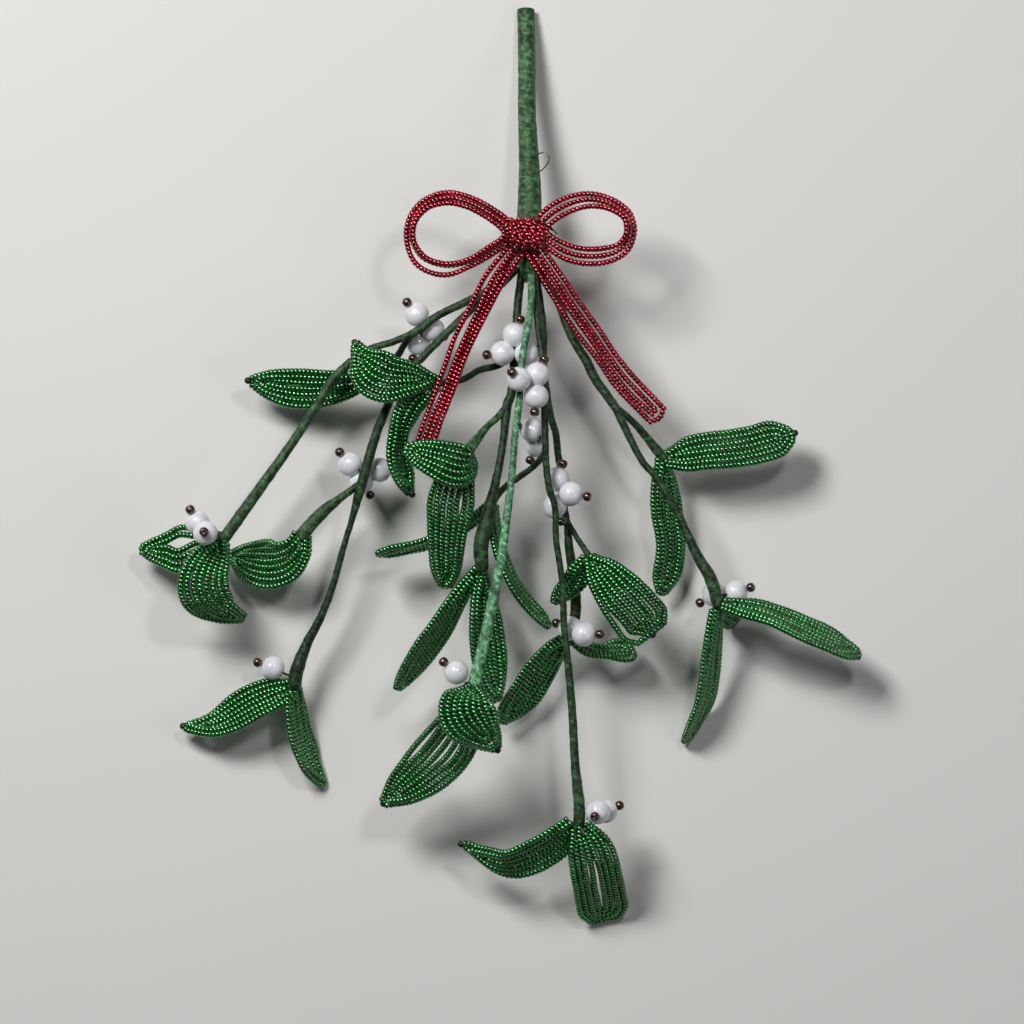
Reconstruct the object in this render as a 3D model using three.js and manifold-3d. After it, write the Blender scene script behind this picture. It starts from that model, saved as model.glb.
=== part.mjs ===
// A bunch of mistletoe made of glass seed beads, lying on a table.
// Taped wire stems fan out from one trunk and end in leaves made of bead rows.
// Pearl berries sit on bronze wires at the forks, and a red bead bow ties the stems.
// Millimetres, +Z up. X and Y lie along the table and the trunk points to +Y.
import * as THREE from 'three';
import { mergeVertices } from 'three/addons/utils/BufferGeometryUtils.js';
import Module from 'manifold-3d';

const wasm = await Module();
wasm.setup();

const GAP = 0.3; // air left between neighbouring pieces
const ROW = 2.1; // width of one row of seed beads
const LEAF_ROWS = 7; // bead rows across most leaves
const LEAF_CORE = 0.55; // half thickness of a leaf between two rows
const RIDGE = 0.5; // height of a bead row above the core
const LEAF_STATIONS = 6; // cross-sections along a plain leaf
const LEAF_CUP = 0.6; // how far the edges of most leaves lift
const RIDGE_FADE = 1.2; // how late the ridges sink where a leaf narrows
const STEM_SIDES = 7;
const PEARL_RADIUS = 4;
const PEARL_SIDES = 8;
const PEARL_RINGS = 5;
const STOP_RADIUS = 1.5; // bronze seed bead that stops a pearl
const STOP_HALF = 1.05; // half its length
const STOP_GAP = 0.35; // air between a pearl and its stop bead
const STOP_FACE = 0.8; // radius of its two faces, as a share of its widest
const STOP_SIDES = 6;
const WIRE_RADIUS = 0.4;
const WIRE_SIDES = 4;
const PATH_STEPS = 10; // samples in each span of a curve
const TABLE_SIDE = 500; // side of the slab that stands for the table
const TABLE_DEPTH = 20;

const COLOURS = {
  bead: { color: 0x075a22, roughness: 0.25, metalness: 0.1 },
  tape: { color: 0x2f5a3c, roughness: 0.7, metalness: 0 },
  paleTape: { color: 0x76a884, roughness: 0.65, metalness: 0 },
  pearl: { color: 0xebe9e6, roughness: 0.3, metalness: 0 },
  bronze: { color: 0x5d4034, roughness: 0.35, metalness: 0.6 },
  redBead: { color: 0x96102a, roughness: 0.25, metalness: 0.1 },
};

// Stems: each branch is a list of [x, y, z, radius], and branches of one node are joined.
const STEMS = {
  stem_trunk: {
    finish: 'tape',
    branches: [
      [[8, 147.2, 1.9, 2.9], [8.3, 130, 7.6, 2.9], [8.3, 114.6, 13, 2.95], [9, 98, 18.2, 3.35],
        [9.2, 85.8, 22, 3.9], [8.6, 74, 25, 3.9], [8.6, 66.5, 26, 3.6], [9.2, 61, 26.5, 2.2]],
      [[10.3, 63.5, 26.5, 1.3], [11.8, 46.1, 34, 1.2], [13.1, 36.5, 37, 1.2], [13.8, 21.8, 37.2, 1.2],
        [14.1, 10.6, 37.5, 1.2], [14.4, 1.6, 36.5, 1.2], [15.4, -6.1, 35.5, 1.2], [17.3, -13.1, 34.5, 1.1],
        [17.6, -22.7, 33.5, 1.1], [18.9, -31.4, 32.5, 1.1], [19.8, -39, 31.5, 1.1], [20.2, -50.2, 30, 1.2],
        [22.1, -69.4, 28.5, 1.3], [23, -81.3, 27.5, 1.4], [23.7, -94.4, 27, 1.5],
        [25, -107.5, 26.5, 1.9], [25, -113.6, 26, 2]],
      [[14.2, 5, 36.8, 1.1], [10.8, 0.8, 31, 1.1], [5.4, -3.2, 26, 1.1], [0.6, -6.7, 23.5, 1.1],
        [-2.9, -11.2, 22, 1.4]],
      [[10.8, 64.5, 24.2, 1.3], [13.4, 46.1, 23.5, 1.2], [13.8, 31.4, 23.5, 1.2], [15.6, 18.2, 23.5, 1.2],
        [17.6, 10.6, 23, 1.2], [18.2, 4.8, 22.5, 1.2], [19.2, -1.3, 22, 1.2], [19.8, -10.2, 22, 1.3],
        [21.1, -17.3, 21.5, 1.2], [21.8, -25.3, 20.5, 1.5], [23, -33.6, 19, 1.7], [24, -44.8, 17, 1.8],
        [22.4, -53.1, 16, 1.7]],
      [[21, -16.8, 21.5, 1], [24.6, -22.7, 25, 0.95], [28.2, -28.2, 29.5, 1.1]],
    ],
  },
  stem_left: {
    finish: 'tape',
    branches: [
      [[5.4, 64, 25, 1.35], [-1.5, 58.5, 26.5, 1.35], [-9.3, 54.1, 27.5, 1.35], [-20.5, 48.6, 28, 1.3],
        [-26.9, 43.8, 28, 1.4], [-34, 40.6, 27, 1.2], [-41.9, 38.1, 26, 1.25], [-47, 34.9, 25.5, 1.4],
        [-53.8, 28.2, 25, 1.6], [-59.5, 19.2, 24.5, 1.5], [-68.2, 6.1, 24, 1.6], [-81, -11.8, 23, 1.9],
        [-88.6, -22.4, 22, 2]],
      [[-26.9, 43.8, 27.5, 1.2], [-29.5, 41.8, 25, 1.1], [-33, 36.2, 20.5, 1.2],
        [-37.1, 30.7, 18, 1.5]],
      [[4.4, 63.2, 23.6, 1.35], [-0.3, 58.6, 23.2, 1.35], [-13.1, 47.4, 25, 1.3],
        [-27.2, 33.3, 26, 1.3], [-33.6, 25.6, 25.5, 1.3], [-36.2, 20.2, 25, 1.4],
        [-40.3, 9.9, 24, 1.6], [-44.8, -5.8, 23, 1.7], [-47.7, -16.3, 21.5, 1.1],
        [-50.6, -25.9, 20, 1.1], [-54.1, -38.4, 18, 1.2], [-57.9, -48, 16.5, 1.4],
        [-62.1, -56, 15, 1.7], [-65.3, -64.3, 14, 2.3], [-66.2, -69.4, 13.5, 2.2]],
      [[-44.4, -4.6, 23, 1.3], [-50.6, -9, 22, 1.3], [-56.3, -13.4, 21, 2],
        [-60.8, -17.9, 20.5, 2.2], [-63.7, -21.4, 20, 2.3]],
    ],
  },
  stem_inner: {
    finish: 'tape',
    branches: [
      [[6.6, 62.5, 23.5, 1.3], [5.4, 52.2, 26, 1.4], [4.5, 39.4, 27.5, 1.4], [3.5, 25, 29, 1.5],
        [1.9, 19.5, 29.5, 1.6], [0.6, 7.7, 30, 1.3], [-1.6, -4.2, 30.5, 1.5], [-4.8, -17.6, 31, 2.4],
        [-6.4, -25, 31, 2.5], [-6.1, -31.7, 30.5, 2.2]],
      [[4, 35.5, 27.8, 1.2], [-1.9, 32.5, 27.5, 1.2], [-6.7, 31.4, 30, 1.15], [-12.5, 28.2, 32, 1.15],
        [-19.5, 27.2, 34, 1.4]],
      [[1.9, 19.5, 29.5, 1.3], [-1.9, 15.4, 31.5, 1.15], [-4.8, 12.8, 33.5, 1.2], [-10.2, 5.8, 38.5, 2]],
    ],
  },
  stem_pale: {
    finish: 'paleTape',
    branches: [
      [[9.6, 61.8, 30.2, 1.25], [9.6, 52.2, 34, 1.2], [8.3, 43.2, 37.3, 1.15], [6.7, 34.2, 39.3, 1.2],
        [5.8, 20.8, 41.5, 1.2], [4.5, 10.6, 43, 1.2], [3.8, 1.6, 44, 1.2], [2.6, -10.2, 45, 1.3],
        [0.3, -27.2, 45.5, 1.5], [-1.9, -39, 46, 1.7], [-4.8, -53.1, 46, 1.9], [-7.4, -64, 46, 2],
        [-8.6, -69.1, 46, 2.1]],
    ],
  },
  stem_right: {
    finish: 'tape',
    branches: [
      [[12, 65.3, 21.4, 1.5], [17.9, 54.4, 22, 1.5], [22.4, 42.6, 23, 1.5], [27.2, 34.6, 23.5, 1.6],
        [30.4, 28.2, 23.5, 1.6], [36.8, 19.2, 23.5, 1.5], [39, 14.4, 23.5, 1.3], [44.8, 2.9, 23.5, 1.2],
        [49.3, -2.6, 23.5, 1.2], [55.7, -12.8, 23, 1.3], [58.9, -19.5, 22.5, 1.4], [63, -28.2, 22, 1.7],
        [67.2, -35.5, 22, 2.1], [69.4, -42.9, 22, 2.1]],
      [[36.4, 19.8, 23.3, 1.2], [40.3, 16.6, 21.5, 1.2], [44.2, 12.8, 19, 1.3], [47.7, 8.6, 17, 1.5],
        [51.8, 3.5, 16, 1.8]],
    ],
  },
};

// Berries: each pearl is [x, y, z] and the way its wire leaves it, to the bronze stop bead.
// The wires of a cluster start together at its hub, beside the stem.
const BERRIES = [
  { hub: [-25.2, 44.4, 25.9], pearls: [
    [[-27, 49.2, 24.5], [-2.4, 3, 1.5]],
    [[-26.4, 40, 20.3], [-1.5, -4, -1]],
    [[-22, 44.4, 22.9], [3.5, -2, -3]]] },
  { hub: [4.9, 40, 29.8], pearls: [
    [[4.4, 42.6, 32.6], [1.7, 4.8, 1]],
    [[0.4, 36.7, 32.6], [-3.8, -0.4, 1.5]],
    [[8.2, 36.6, 33], [4, 1.5, -3]]] },
  { hub: [8.3, 27.3, 41.1], pearls: [
    [[5.7, 28.3, 46.1], [-2.2, 2.2, 4.2]],
    [[11.6, 29.9, 42.7], [2.2, 4.6, 1]],
    [[11.3, 22.9, 43.2], [-0.5, -4.7, 1.5]]] },
  { hub: [12.6, 10, 36], pearls: [
    [[9.9, 12.2, 33], [-3.4, 1, 1.5]],
    [[11.6, 7.3, 28.2], [-1.9, -4, -0.5]]] },
  { hub: [19.8, -8.6, 24.2], pearls: [
    [[22.4, -8.3, 31], [4.8, -0.8, 1]],
    [[18, -3.6, 28.4], [1.6, 4.5, -1]],
    [[17.1, -12.3, 28.4], [2.1, -4.7, -1]]] },
  { hub: [-44.6, -1.4, 21.2], pearls: [
    [[-48.4, 1.3, 18.8], [-2.8, 3.2, 1.5]],
    [[-39, -0.6, 17], [4, 2, -2]],
    [[-44.8, -4.2, 17], [2.4, -3.8, -1]]] },
  { hub: [-90.1, -20.7, 23.6], pearls: [
    [[-97.2, -17.4, 27.6], [-1.8, 3.3, 2]],
    [[-94.5, -20.8, 33.1], [-0.3, 0.3, 4]]] },
  { hub: [-68.1, -66.5, 12.6], pearls: [
    [[-73.3, -64.2, 10.5], [-4.1, 1.6, 1]]] },
  { hub: [-11.2, -67.6, 46.4], pearls: [
    [[-14.3, -65.2, 46.5], [-3.3, 2.7, 1]]] },
  { hub: [24.6, -51.6, 18], pearls: [
    [[26.5, -53.2, 27.6], [4.7, 0, 1.5]],
    [[22.2, -51.4, 22.5], [-4, 1.5, -2]]] },
  { hub: [71.2, -40.7, 19.8], pearls: [
    [[75.2, -39.8, 16.3], [4.4, 1.4, 1.5]],
    [[68.3, -40.5, 15.2], [-4.4, -2.7, -1]]] },
  { hub: [27.5, -112.4, 26.4], pearls: [
    [[31, -110, 31.2], [-0.9, -1.3, 4.6]],
    [[33.4, -109.8, 24.7], [4, 1.5, -2]]] },
];

// Leaves: `line` is the centre line from base to tip and `widths` are spread evenly along it.
// `up` holds the ways the face looks, spread evenly too, or `roll` gives its lean in degrees
// about the line at base and tip. `cup` lifts the two edges and `rows` counts the bead rows.
const LEAVES = [
  {
    line: [[-37.8, 30.1, 18], [-51.5, 26.2, 17], [-65.9, 25.6, 15], [-81.8, 28.2, 14]],
    widths: [2.5, 6.2, 10.4, 12.9, 13, 9.4, 2.4], roll: [14, 14],
  },
  {
    line: [[-20.5, 27.9, 34.2], [-29.1, 28.5, 38], [-37.1, 28.8, 39.5], [-43.2, 33, 37], [-47, 40.6, 32]],
    up: [[0, 0.2, 1], [0, 0, 1], [-0.3, 0.1, 1], [-0.5, 0.5, 0.7]],
    widths: [2.5, 8, 12.5, 16.4, 15, 7, 2.4], rows: 8, stations: 7,
  },
  {
    line: [[-20.5, 26.2, 33.4], [-28.2, 21.1, 34], [-32.3, 11.5, 32.5], [-32.6, 1.9, 30], [-28.2, -9, 28]],
    widths: [3.5, 8.5, 9.4, 7.2, 9.8, 9.4, 2.4], roll: [20, 66], stations: 7,
  },
  {
    line: [[-10.6, 5.2, 40], [-9.6, 1.4, 43.5], [-13.5, 0.6, 47], [-21.5, 3.2, 47.5], [-31.2, 6.5, 43]],
    up: [[0.9, 0, 0.3], [0.7, -0.3, 0.7], [0, 0, 1], [0, 0.1, 1], [0, 0.1, 1]],
    widths: [4, 11, 14.7, 13.8, 11.2, 8, 3.4], stations: 8,
  },
  {
    line: [[-10.6, 4.4, 37.8], [-14.9, -5.4, 39], [-17.2, -21.4, 34], [-17.7, -39.7, 23]],
    widths: [4, 12, 15.2, 13.4, 11.4, 9.4, 3.4], roll: [0, 0],
  },
  {
    line: [[-3.9, -11.9, 21.5], [-11.5, -18.6, 21], [-24.3, -24, 20], [-41, -28, 19]],
    widths: [4, 9, 12, 13, 12.5, 10, 3.5], roll: [76, 76],
  },
  {
    line: [[-7.7, -32.6, 30], [-14.7, -43.8, 29], [-24.3, -57.6, 25], [-33.6, -72.3, 20]],
    widths: [3, 8, 12, 14.5, 14.7, 11, 2.5], roll: [56, 60],
  },
  {
    line: [[-6.1, -33.4, 28.6], [-5.4, -45.4, 26], [-4.1, -59.8, 22], [-0.7, -76, 18]],
    widths: [4, 8, 12.5, 14.5, 14, 10, 2.5], roll: [38, 38],
  },
  {
    line: [[-2.2, -12.4, 22.5], [-1.1, -23.6, 25], [4.2, -37.7, 27], [16.6, -51.6, 23]],
    widths: [4, 9, 12, 13, 12.5, 10, 3.5], roll: [76, 76],
  },
  {
    line: [[21.8, -54, 15.8], [13.8, -62.8, 13], [7.6, -72.3, 11], [-0.6, -82.6, 8]],
    widths: [4, 9, 13, 14.7, 14.2, 10.5, 2.8], roll: [44, 44],
  },
  {
    line: [[22.8, -54, 16], [28.5, -57.9, 17], [35.5, -58.6, 15], [43.4, -58.6, 10]],
    widths: [3.5, 8.6, 7.2, 6.6, 9.6, 10, 3.4], roll: [70, 35], rows: 5,
  },
  {
    line: [[28.6, -28.9, 30], [34.5, -36, 34], [41.5, -44.5, 34], [48.8, -53.8, 27]],
    widths: [4, 10.5, 14.5, 16.8, 17.8, 17.8, 11.5], roll: [0, 0], rows: 8,
  },
  {
    line: [[27.4, -29.2, 28.3], [23.2, -36.4, 26], [16.6, -43.8, 22.6]],
    widths: [3.5, 8, 9.6, 9.6, 8.2, 5.6, 2.4], roll: [35, 35], rows: 5,
  },
  {
    line: [[-9, -70.1, 47.4], [-10.6, -74.2, 52.6], [-10.6, -78.4, 53.6], [-7.4, -83.2, 51.6],
      [-0.8, -90.4, 44]],
    up: [[0, 0.9, 0.6], [0, 0.2, 1], [0, -0.3, 1], [0.3, -0.7, 0.6]],
    widths: [5, 15, 18.4, 17.4, 13.2, 8, 2.4], rows: 9, stations: 7,
  },
  {
    line: [[-9, -69.6, 45], [-14.7, -85.4, 38], [-24, -96.4, 30], [-38.1, -107.8, 22]],
    widths: [5, 12, 16.8, 18, 16.4, 11.6, 3.4], roll: [0, 0],
  },
  {
    line: [[23.4, -114.9, 26], [14.1, -122.2, 24], [1.3, -126.7, 21], [-13.4, -120.3, 16]],
    widths: [9, 13, 14.6, 14.4, 11, 5.8, 2.6], roll: [44, 44],
  },
  {
    line: [[25.6, -115, 26], [28.8, -123, 25], [31, -132.6, 17], [33.6, -146, 0.2]],
    widths: [7, 14.5, 16.2, 16.5, 16.6, 16.4, 10], roll: [0, 0], stations: 7,
  },
  {
    line: [[53.1, 3, 16], [63.7, 5.1, 18], [79.7, 7, 18], [94.8, 11.4, 16]],
    widths: [6, 12, 13, 13.2, 13.6, 13, 4.2], roll: [22, 22],
  },
  {
    line: [[51.8, 2.9, 15.6], [53, -13.4, 12], [54.4, -26.2, 10], [51.6, -42, 8]],
    widths: [4, 10, 13.2, 12.2, 12.2, 11.5, 2.6], roll: [42, 42],
  },
  {
    line: [[69.2, -45.2, 20.6], [67.6, -58.2, 16], [65.6, -72.6, 11], [62.6, -81, 6.5], [59, -88.9, 0.3]],
    widths: [7, 10.5, 12.5, 13.7, 13.7, 11.5, 3], roll: [65, 65],
  },
  {
    line: [[71.6, -43.4, 23], [86.1, -46.8, 25], [102.1, -54, 22], [116.5, -60, 16]],
    widths: [6, 11, 12, 13, 14.3, 12, 3], roll: [55, 55],
  },
  {
    line: [[71, -45, 18.8], [73.8, -47, 9], [75.4, -50, 0.2]],
    up: [[0.5, -0.8, 0], [0.8, -0.5, 0.3]],
    widths: [4, 8, 10, 10, 9, 7, 3], rows: 5,
  },
  {
    line: [[-89.4, -22.8, 21.4], [-102, -26, 16], [-116.5, -26.2, 9]],
    widths: [4, 9, 14.4, 16.2, 12.4, 7, 2], roll: [-10, -15], rows: 6,
  },
  {
    line: [[-89.4, -23.6, 22.2], [-94.4, -32.6, 27], [-95, -39.7, 29], [-90.6, -45.1, 24],
      [-81.3, -48.5, 21]],
    up: [[0, 0.4, 1], [0, 0.1, 1], [0, -0.6, 0.8], [0.1, -0.9, 0.4], [0, -0.9, 0.4]],
    widths: [5, 12, 15.4, 16.8, 15.4, 11.6, 4.4], rows: 8, stations: 7,
  },
  {
    line: [[-63.8, -21.6, 19.9], [-65.9, -26.6, 19], [-71, -30.4, 15], [-79, -30.4, 9],
      [-87.7, -27.8, 0.3]],
    widths: [6, 10.5, 15, 16.4, 13.8, 9, 2.6], roll: [0, 0], rows: 8, cup: 1.5, stations: 7,
  },
  {
    line: [[-67.9, -70.6, 13], [-78.4, -74.8, 12], [-91.5, -81.8, 9], [-102.7, -82.9, 6]],
    widths: [8, 13.5, 15, 14.8, 11.6, 6.6, 2.6], roll: [-40, -40],
  },
  {
    line: [[-66.4, -71.8, 12.6], [-65.2, -84, 9.5], [-61.4, -94, 5.5], [-56.3, -102.3, 0.3]],
    widths: [9, 11.6, 12.9, 13.6, 12.9, 7.4, 3], roll: [56, 56],
  },
];

// Bow: the loops are closed bands of three rows and the tails are flat bands of four.
const LOOP_ROWS = 3;
const LOOP_LEAN = 25; // degrees from flat on the table towards standing on edge
const LOOPS = {
  bow_loop_left: [[1.6, 77.4, 34], [-3.5, 81.4, 34.5], [-9.9, 84.8, 35], [-17, 86.4, 35.5],
    [-23.8, 84.4, 36], [-28, 79.4, 36], [-28.4, 73, 36], [-24.8, 67.2, 35.5], [-17.9, 64.8, 35],
    [-10.6, 66, 34.5], [-3.5, 69.8, 34], [1.6, 73.6, 34]],
  bow_loop_right: [[15.2, 79.4, 34], [19.6, 83.4, 34.5], [27.2, 85.8, 35], [34.4, 84.6, 35.5],
    [40, 80.8, 36], [41.2, 75.3, 36], [38.8, 70.4, 35.5], [33.2, 68, 35], [25.9, 67.8, 34.5],
    [19.4, 69.8, 34], [15.2, 74, 34]],
};
const TAIL_ROWS = 4;
const TAIL_SHARES = [0, 0.16, 0.34, 0.52, 0.7, 0.86, 0.96, 1]; // cross-sections along a tail
const TAIL_NECK = 0.78; // width of a tail at the knot, as a share of its full width
const TAIL_ROUND_FROM = 0.9; // where its far end starts to round off
const TAIL_ROUND_LENGTH = 0.115;
const TAILS = [
  [[5.6, 70.4, 31.8], [-1.9, 60.6, 33.4], [-7.2, 50.6, 36], [-12.7, 39.4, 38.5],
    [-17.4, 26.6, 40], [-22.2, 13.8, 40.5], [-24.3, 7.4, 40]],
  [[10, 70.4, 31.8], [16.7, 60.4, 31.8], [23.3, 50.2, 31], [30.8, 39.8, 29.5], [38.8, 28.6, 28.5],
    [46.9, 20, 28], [51, 15.9, 27.6]],
];
const KNOT_CENTRE = [8.2, 74.9, 33.4];
const KNOT_ROWS = 5;
const KNOT_HEIGHT = 13; // along Y
const KNOT_DEPTH = 8.6; // along Z
const KNOT_SIDES = 8;
const KNOT_CORNERS = 4; // how square the knot is: 2 is round
const KNOT_GROOVE = 0.88; // reach of the grooves between its rows
const KNOT_ENDS = 0.8; // reach of its two ends

// --- curves -------------------------------------------------------------------------------

// One value of a Catmull-Rom curve through b and c, at u from 0 to 1.
function between(a, b, c, d, u) {
  const pull = 2 * b + (c - a) * u;
  const square = (2 * a - 5 * b + 4 * c - d) * u * u;
  const cube = (3 * b - a - 3 * c + d) * u * u * u;
  return (pull + square + cube) / 2;
}

// Samples along a curve through `points`.
function smooth(points) {
  const last = points.length - 1;
  const pick = (i) => points[Math.min(Math.max(i, 0), last)];
  const samples = [];
  for (let i = 0; i < last; i += 1) {
    const near = [pick(i - 1), pick(i), pick(i + 1), pick(i + 2)];
    for (let k = 0; k < PATH_STEPS; k += 1) {
      samples.push(near[1].map((_, axis) => between(...near.map((p) => p[axis]), k / PATH_STEPS)));
    }
  }
  samples.push(points[last]);
  return samples;
}

// Points at the given shares of an open path's length, each with the direction of the path there.
function alongPath(samples, shares) {
  const spots = samples.map((p) => new THREE.Vector3(p[0], p[1], p[2]));
  const lengths = [0];
  for (let i = 1; i < spots.length; i += 1) {
    lengths.push(lengths[i - 1] + spots[i].distanceTo(spots[i - 1]));
  }
  const total = lengths[lengths.length - 1];
  return shares.map((share) => {
    let i = lengths.findIndex((length) => length >= share * total - 1e-9);
    i = Math.min(Math.max(i, 1), spots.length - 1);
    const part = (share * total - lengths[i - 1]) / (lengths[i] - lengths[i - 1]);
    const before = spots[Math.max(i - 2, 0)];
    const after = spots[Math.min(i + 1, spots.length - 1)];
    return {
      at: spots[i - 1].clone().lerp(spots[i], part),
      along: after.clone().sub(before).normalize(),
      share,
    };
  });
}

// --- closed solids ------------------------------------------------------------------------

function solidFrom(positions, triangles) {
  const vertProperties = new Float32Array(positions.flatMap((p) => [p.x, p.y, p.z]));
  const triVerts = new Uint32Array(triangles.flat());
  return new wasm.Manifold(new wasm.Mesh({ numProp: 3, vertProperties, triVerts }));
}

// Skin over a row of rings with the same number of points, capped at both ends or closed on itself.
// The rings run anticlockwise seen from the end towards the start.
function skin(rings, closed = false) {
  const size = rings[0].length;
  const positions = rings.flat();
  const triangles = [];
  const spans = closed ? rings.length : rings.length - 1;
  for (let i = 0; i < spans; i += 1) {
    const next = (i + 1) % rings.length;
    for (let k = 0; k < size; k += 1) {
      const side = (k + 1) % size;
      const [a, b, c, d] = [i * size + k, i * size + side, next * size + side, next * size + k];
      triangles.push([a, b, c], [a, c, d]);
    }
  }
  if (!closed) {
    for (const [ring, turn] of [[0, 1], [rings.length - 1, 0]]) {
      const centre = positions.length;
      const middle = rings[ring].reduce((sum, p) => sum.add(p), new THREE.Vector3());
      positions.push(middle.divideScalar(size));
      for (let k = 0; k < size; k += 1) {
        const ends = [ring * size + k, ring * size + (k + 1) % size];
        triangles.push([centre, ends[turn], ends[1 - turn]]);
      }
    }
  }
  return solidFrom(positions, triangles);
}

function solidFromGeometry(geometry) {
  geometry.deleteAttribute('normal');
  geometry.deleteAttribute('uv');
  const merged = mergeVertices(geometry, 1e-4);
  const spots = merged.getAttribute('position');
  const positions = [];
  for (let i = 0; i < spots.count; i += 1) {
    positions.push(new THREE.Vector3().fromBufferAttribute(spots, i));
  }
  const order = Array.from(merged.getIndex().array);
  const triangles = [];
  for (let i = 0; i < order.length; i += 3) {
    if (new Set(order.slice(i, i + 3)).size === 3) triangles.push(order.slice(i, i + 3));
  }
  return solidFrom(positions, triangles);
}

function join(solids) {
  return solids.reduce((whole, solid) => whole.add(solid));
}

// --- stems and wires ----------------------------------------------------------------------

// Tube through [x, y, z, radius] points, with flat ends set `grow` further out.
function tube(points, sides, grow = 0) {
  const spots = points.map((p) => new THREE.Vector3(p[0], p[1], p[2]));
  const last = spots.length - 1;
  const start = spots[0].clone().sub(spots[1]).normalize();
  const end = spots[last].clone().sub(spots[last - 1]).normalize();
  spots[0].addScaledVector(start, grow);
  spots[last].addScaledVector(end, grow);
  const side = new THREE.Vector3(0, 0, 1);
  const rings = spots.map((spot, i) => {
    const along = spots[Math.min(i + 1, last)].clone().sub(spots[Math.max(i - 1, 0)]).normalize();
    const across = new THREE.Vector3().crossVectors(side, along).normalize();
    side.crossVectors(along, across);
    const radius = points[i][3] + grow;
    return Array.from({ length: sides }, (_, k) => {
      const angle = ((k + 0.5) / sides) * 2 * Math.PI;
      return spot.clone()
        .addScaledVector(across, radius * Math.cos(angle))
        .addScaledVector(side, radius * Math.sin(angle));
    });
  });
  return skin(rings);
}

function stem(branches, grow) {
  return join(branches.map((branch) => tube(branch, STEM_SIDES, grow)));
}

// --- bead bands: leaves, tails and loops ----------------------------------------------------

// Points of a ridged cross-section, as [across, out of the face], for a band `width` wide.
// The upper face has a ridge for each row and the lower one half as many.
function ridges(width, rows, strength, grow, lowerRows = Math.floor(rows / 2)) {
  const half = width / 2 + grow;
  const core = LEAF_CORE + grow;
  const peak = core + RIDGE * strength;
  const points = [];
  for (let k = 1; k < rows * 2; k += 1) {
    points.push([half - (k / rows) * half, k % 2 ? peak : core]);
  }
  points.push([-half, 0]);
  for (let k = 1; k < lowerRows * 2; k += 1) {
    points.push([-half + (k / lowerRows) * half, k % 2 ? -peak : -core]);
  }
  points.push([half, 0]);
  return points;
}

// Ring of a band at `spot`, whose face looks along `up`.
function bandRing(spot, up, section, cup, half) {
  const across = new THREE.Vector3().crossVectors(up, spot.along).normalize();
  const out = new THREE.Vector3().crossVectors(spot.along, across);
  return section.map(([side, height]) => spot.at.clone()
    .addScaledVector(across, side)
    .addScaledVector(out, height + cup * (side / half) ** 2));
}

// Width of a leaf at a share of its length.
function leafWidth({ widths }, share) {
  const last = widths.length - 1;
  const i = Math.min(Math.floor(share * last), last - 1);
  const near = [i - 1, i, i + 1, i + 2].map((k) => widths[Math.min(Math.max(k, 0), last)]);
  return between(...near, share * last - i);
}

// The way a leaf's face looks at a share of its length.
function faceAt(leaf, share) {
  const line = leaf.line;
  const chord = [line[line.length - 1][0] - line[0][0], line[line.length - 1][1] - line[0][1]];
  const length = Math.hypot(...chord);
  if (leaf.up) {
    const place = share * (leaf.up.length - 1);
    const i = Math.min(Math.floor(place), leaf.up.length - 2);
    return new THREE.Vector3(...leaf.up[i]).lerp(new THREE.Vector3(...leaf.up[i + 1]), place - i);
  }
  const roll = THREE.MathUtils.degToRad(leaf.roll[0] + (leaf.roll[1] - leaf.roll[0]) * share);
  const lean = Math.sin(roll) / length;
  return new THREE.Vector3(-chord[1] * lean, chord[0] * lean, Math.cos(roll));
}

function leafBlade(leaf, grow) {
  const stations = leaf.stations ?? LEAF_STATIONS;
  const rows = leaf.rows ?? LEAF_ROWS;
  const cup = leaf.cup ?? LEAF_CUP;
  const widest = Math.max(...leaf.widths);
  const shares = Array.from({ length: stations }, (_, k) => (
    (1 - Math.cos((Math.PI * k) / (stations - 1))) / 2));
  const spots = alongPath(smooth(leaf.line), shares);
  spots[0].at.addScaledVector(spots[0].along, -grow);
  spots[stations - 1].at.addScaledVector(spots[stations - 1].along, grow);
  const rings = spots.map((spot) => {
    const width = leafWidth(leaf, spot.share);
    const size = width / widest;
    const section = ridges(width, rows, Math.min(1, RIDGE_FADE * size), grow);
    return bandRing(spot, faceAt(leaf, spot.share), section, cup * size, widest / 2);
  });
  return skin(rings);
}

// Flat band with a rounded far end, lying level.
function tail(line, grow) {
  const spots = alongPath(smooth(line), TAIL_SHARES);
  const level = new THREE.Vector3(0, 0, 1);
  const rings = spots.map((spot) => {
    const past = Math.max(0, (spot.share - TAIL_ROUND_FROM) / TAIL_ROUND_LENGTH);
    const round = Math.sqrt(Math.max(0, 1 - past ** 2));
    const width = TAIL_ROWS * ROW * Math.min(TAIL_NECK + spot.share, 1) * round;
    return bandRing(spot, level, ridges(width, TAIL_ROWS, 1, grow), 0, 1);
  });
  return skin(rings);
}

// Closed band around a loop, its width leaning from the loop's own plane towards +Z.
function loopBand(line, grow) {
  const spots = line.map((p) => new THREE.Vector3(p[0], p[1], p[2]));
  const count = spots.length;
  const middle = spots.reduce((sum, p) => sum.add(p), new THREE.Vector3()).divideScalar(count);
  const lean = THREE.MathUtils.degToRad(LOOP_LEAN);
  const rings = spots.map((at, i) => {
    const along = spots[(i + 1) % count].clone().sub(spots[(i + count - 1) % count]).normalize();
    const outward = new THREE.Vector3(along.y, -along.x, 0).normalize();
    if (outward.dot(at.clone().sub(middle)) < 0) outward.negate();
    const up = outward.multiplyScalar(Math.sin(lean)).add(new THREE.Vector3(0, 0, Math.cos(lean)));
    return bandRing({ at, along }, up, ridges(LOOP_ROWS * ROW, LOOP_ROWS, 1, grow, LOOP_ROWS), 0, 1);
  });
  return skin(rings, true);
}

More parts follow.
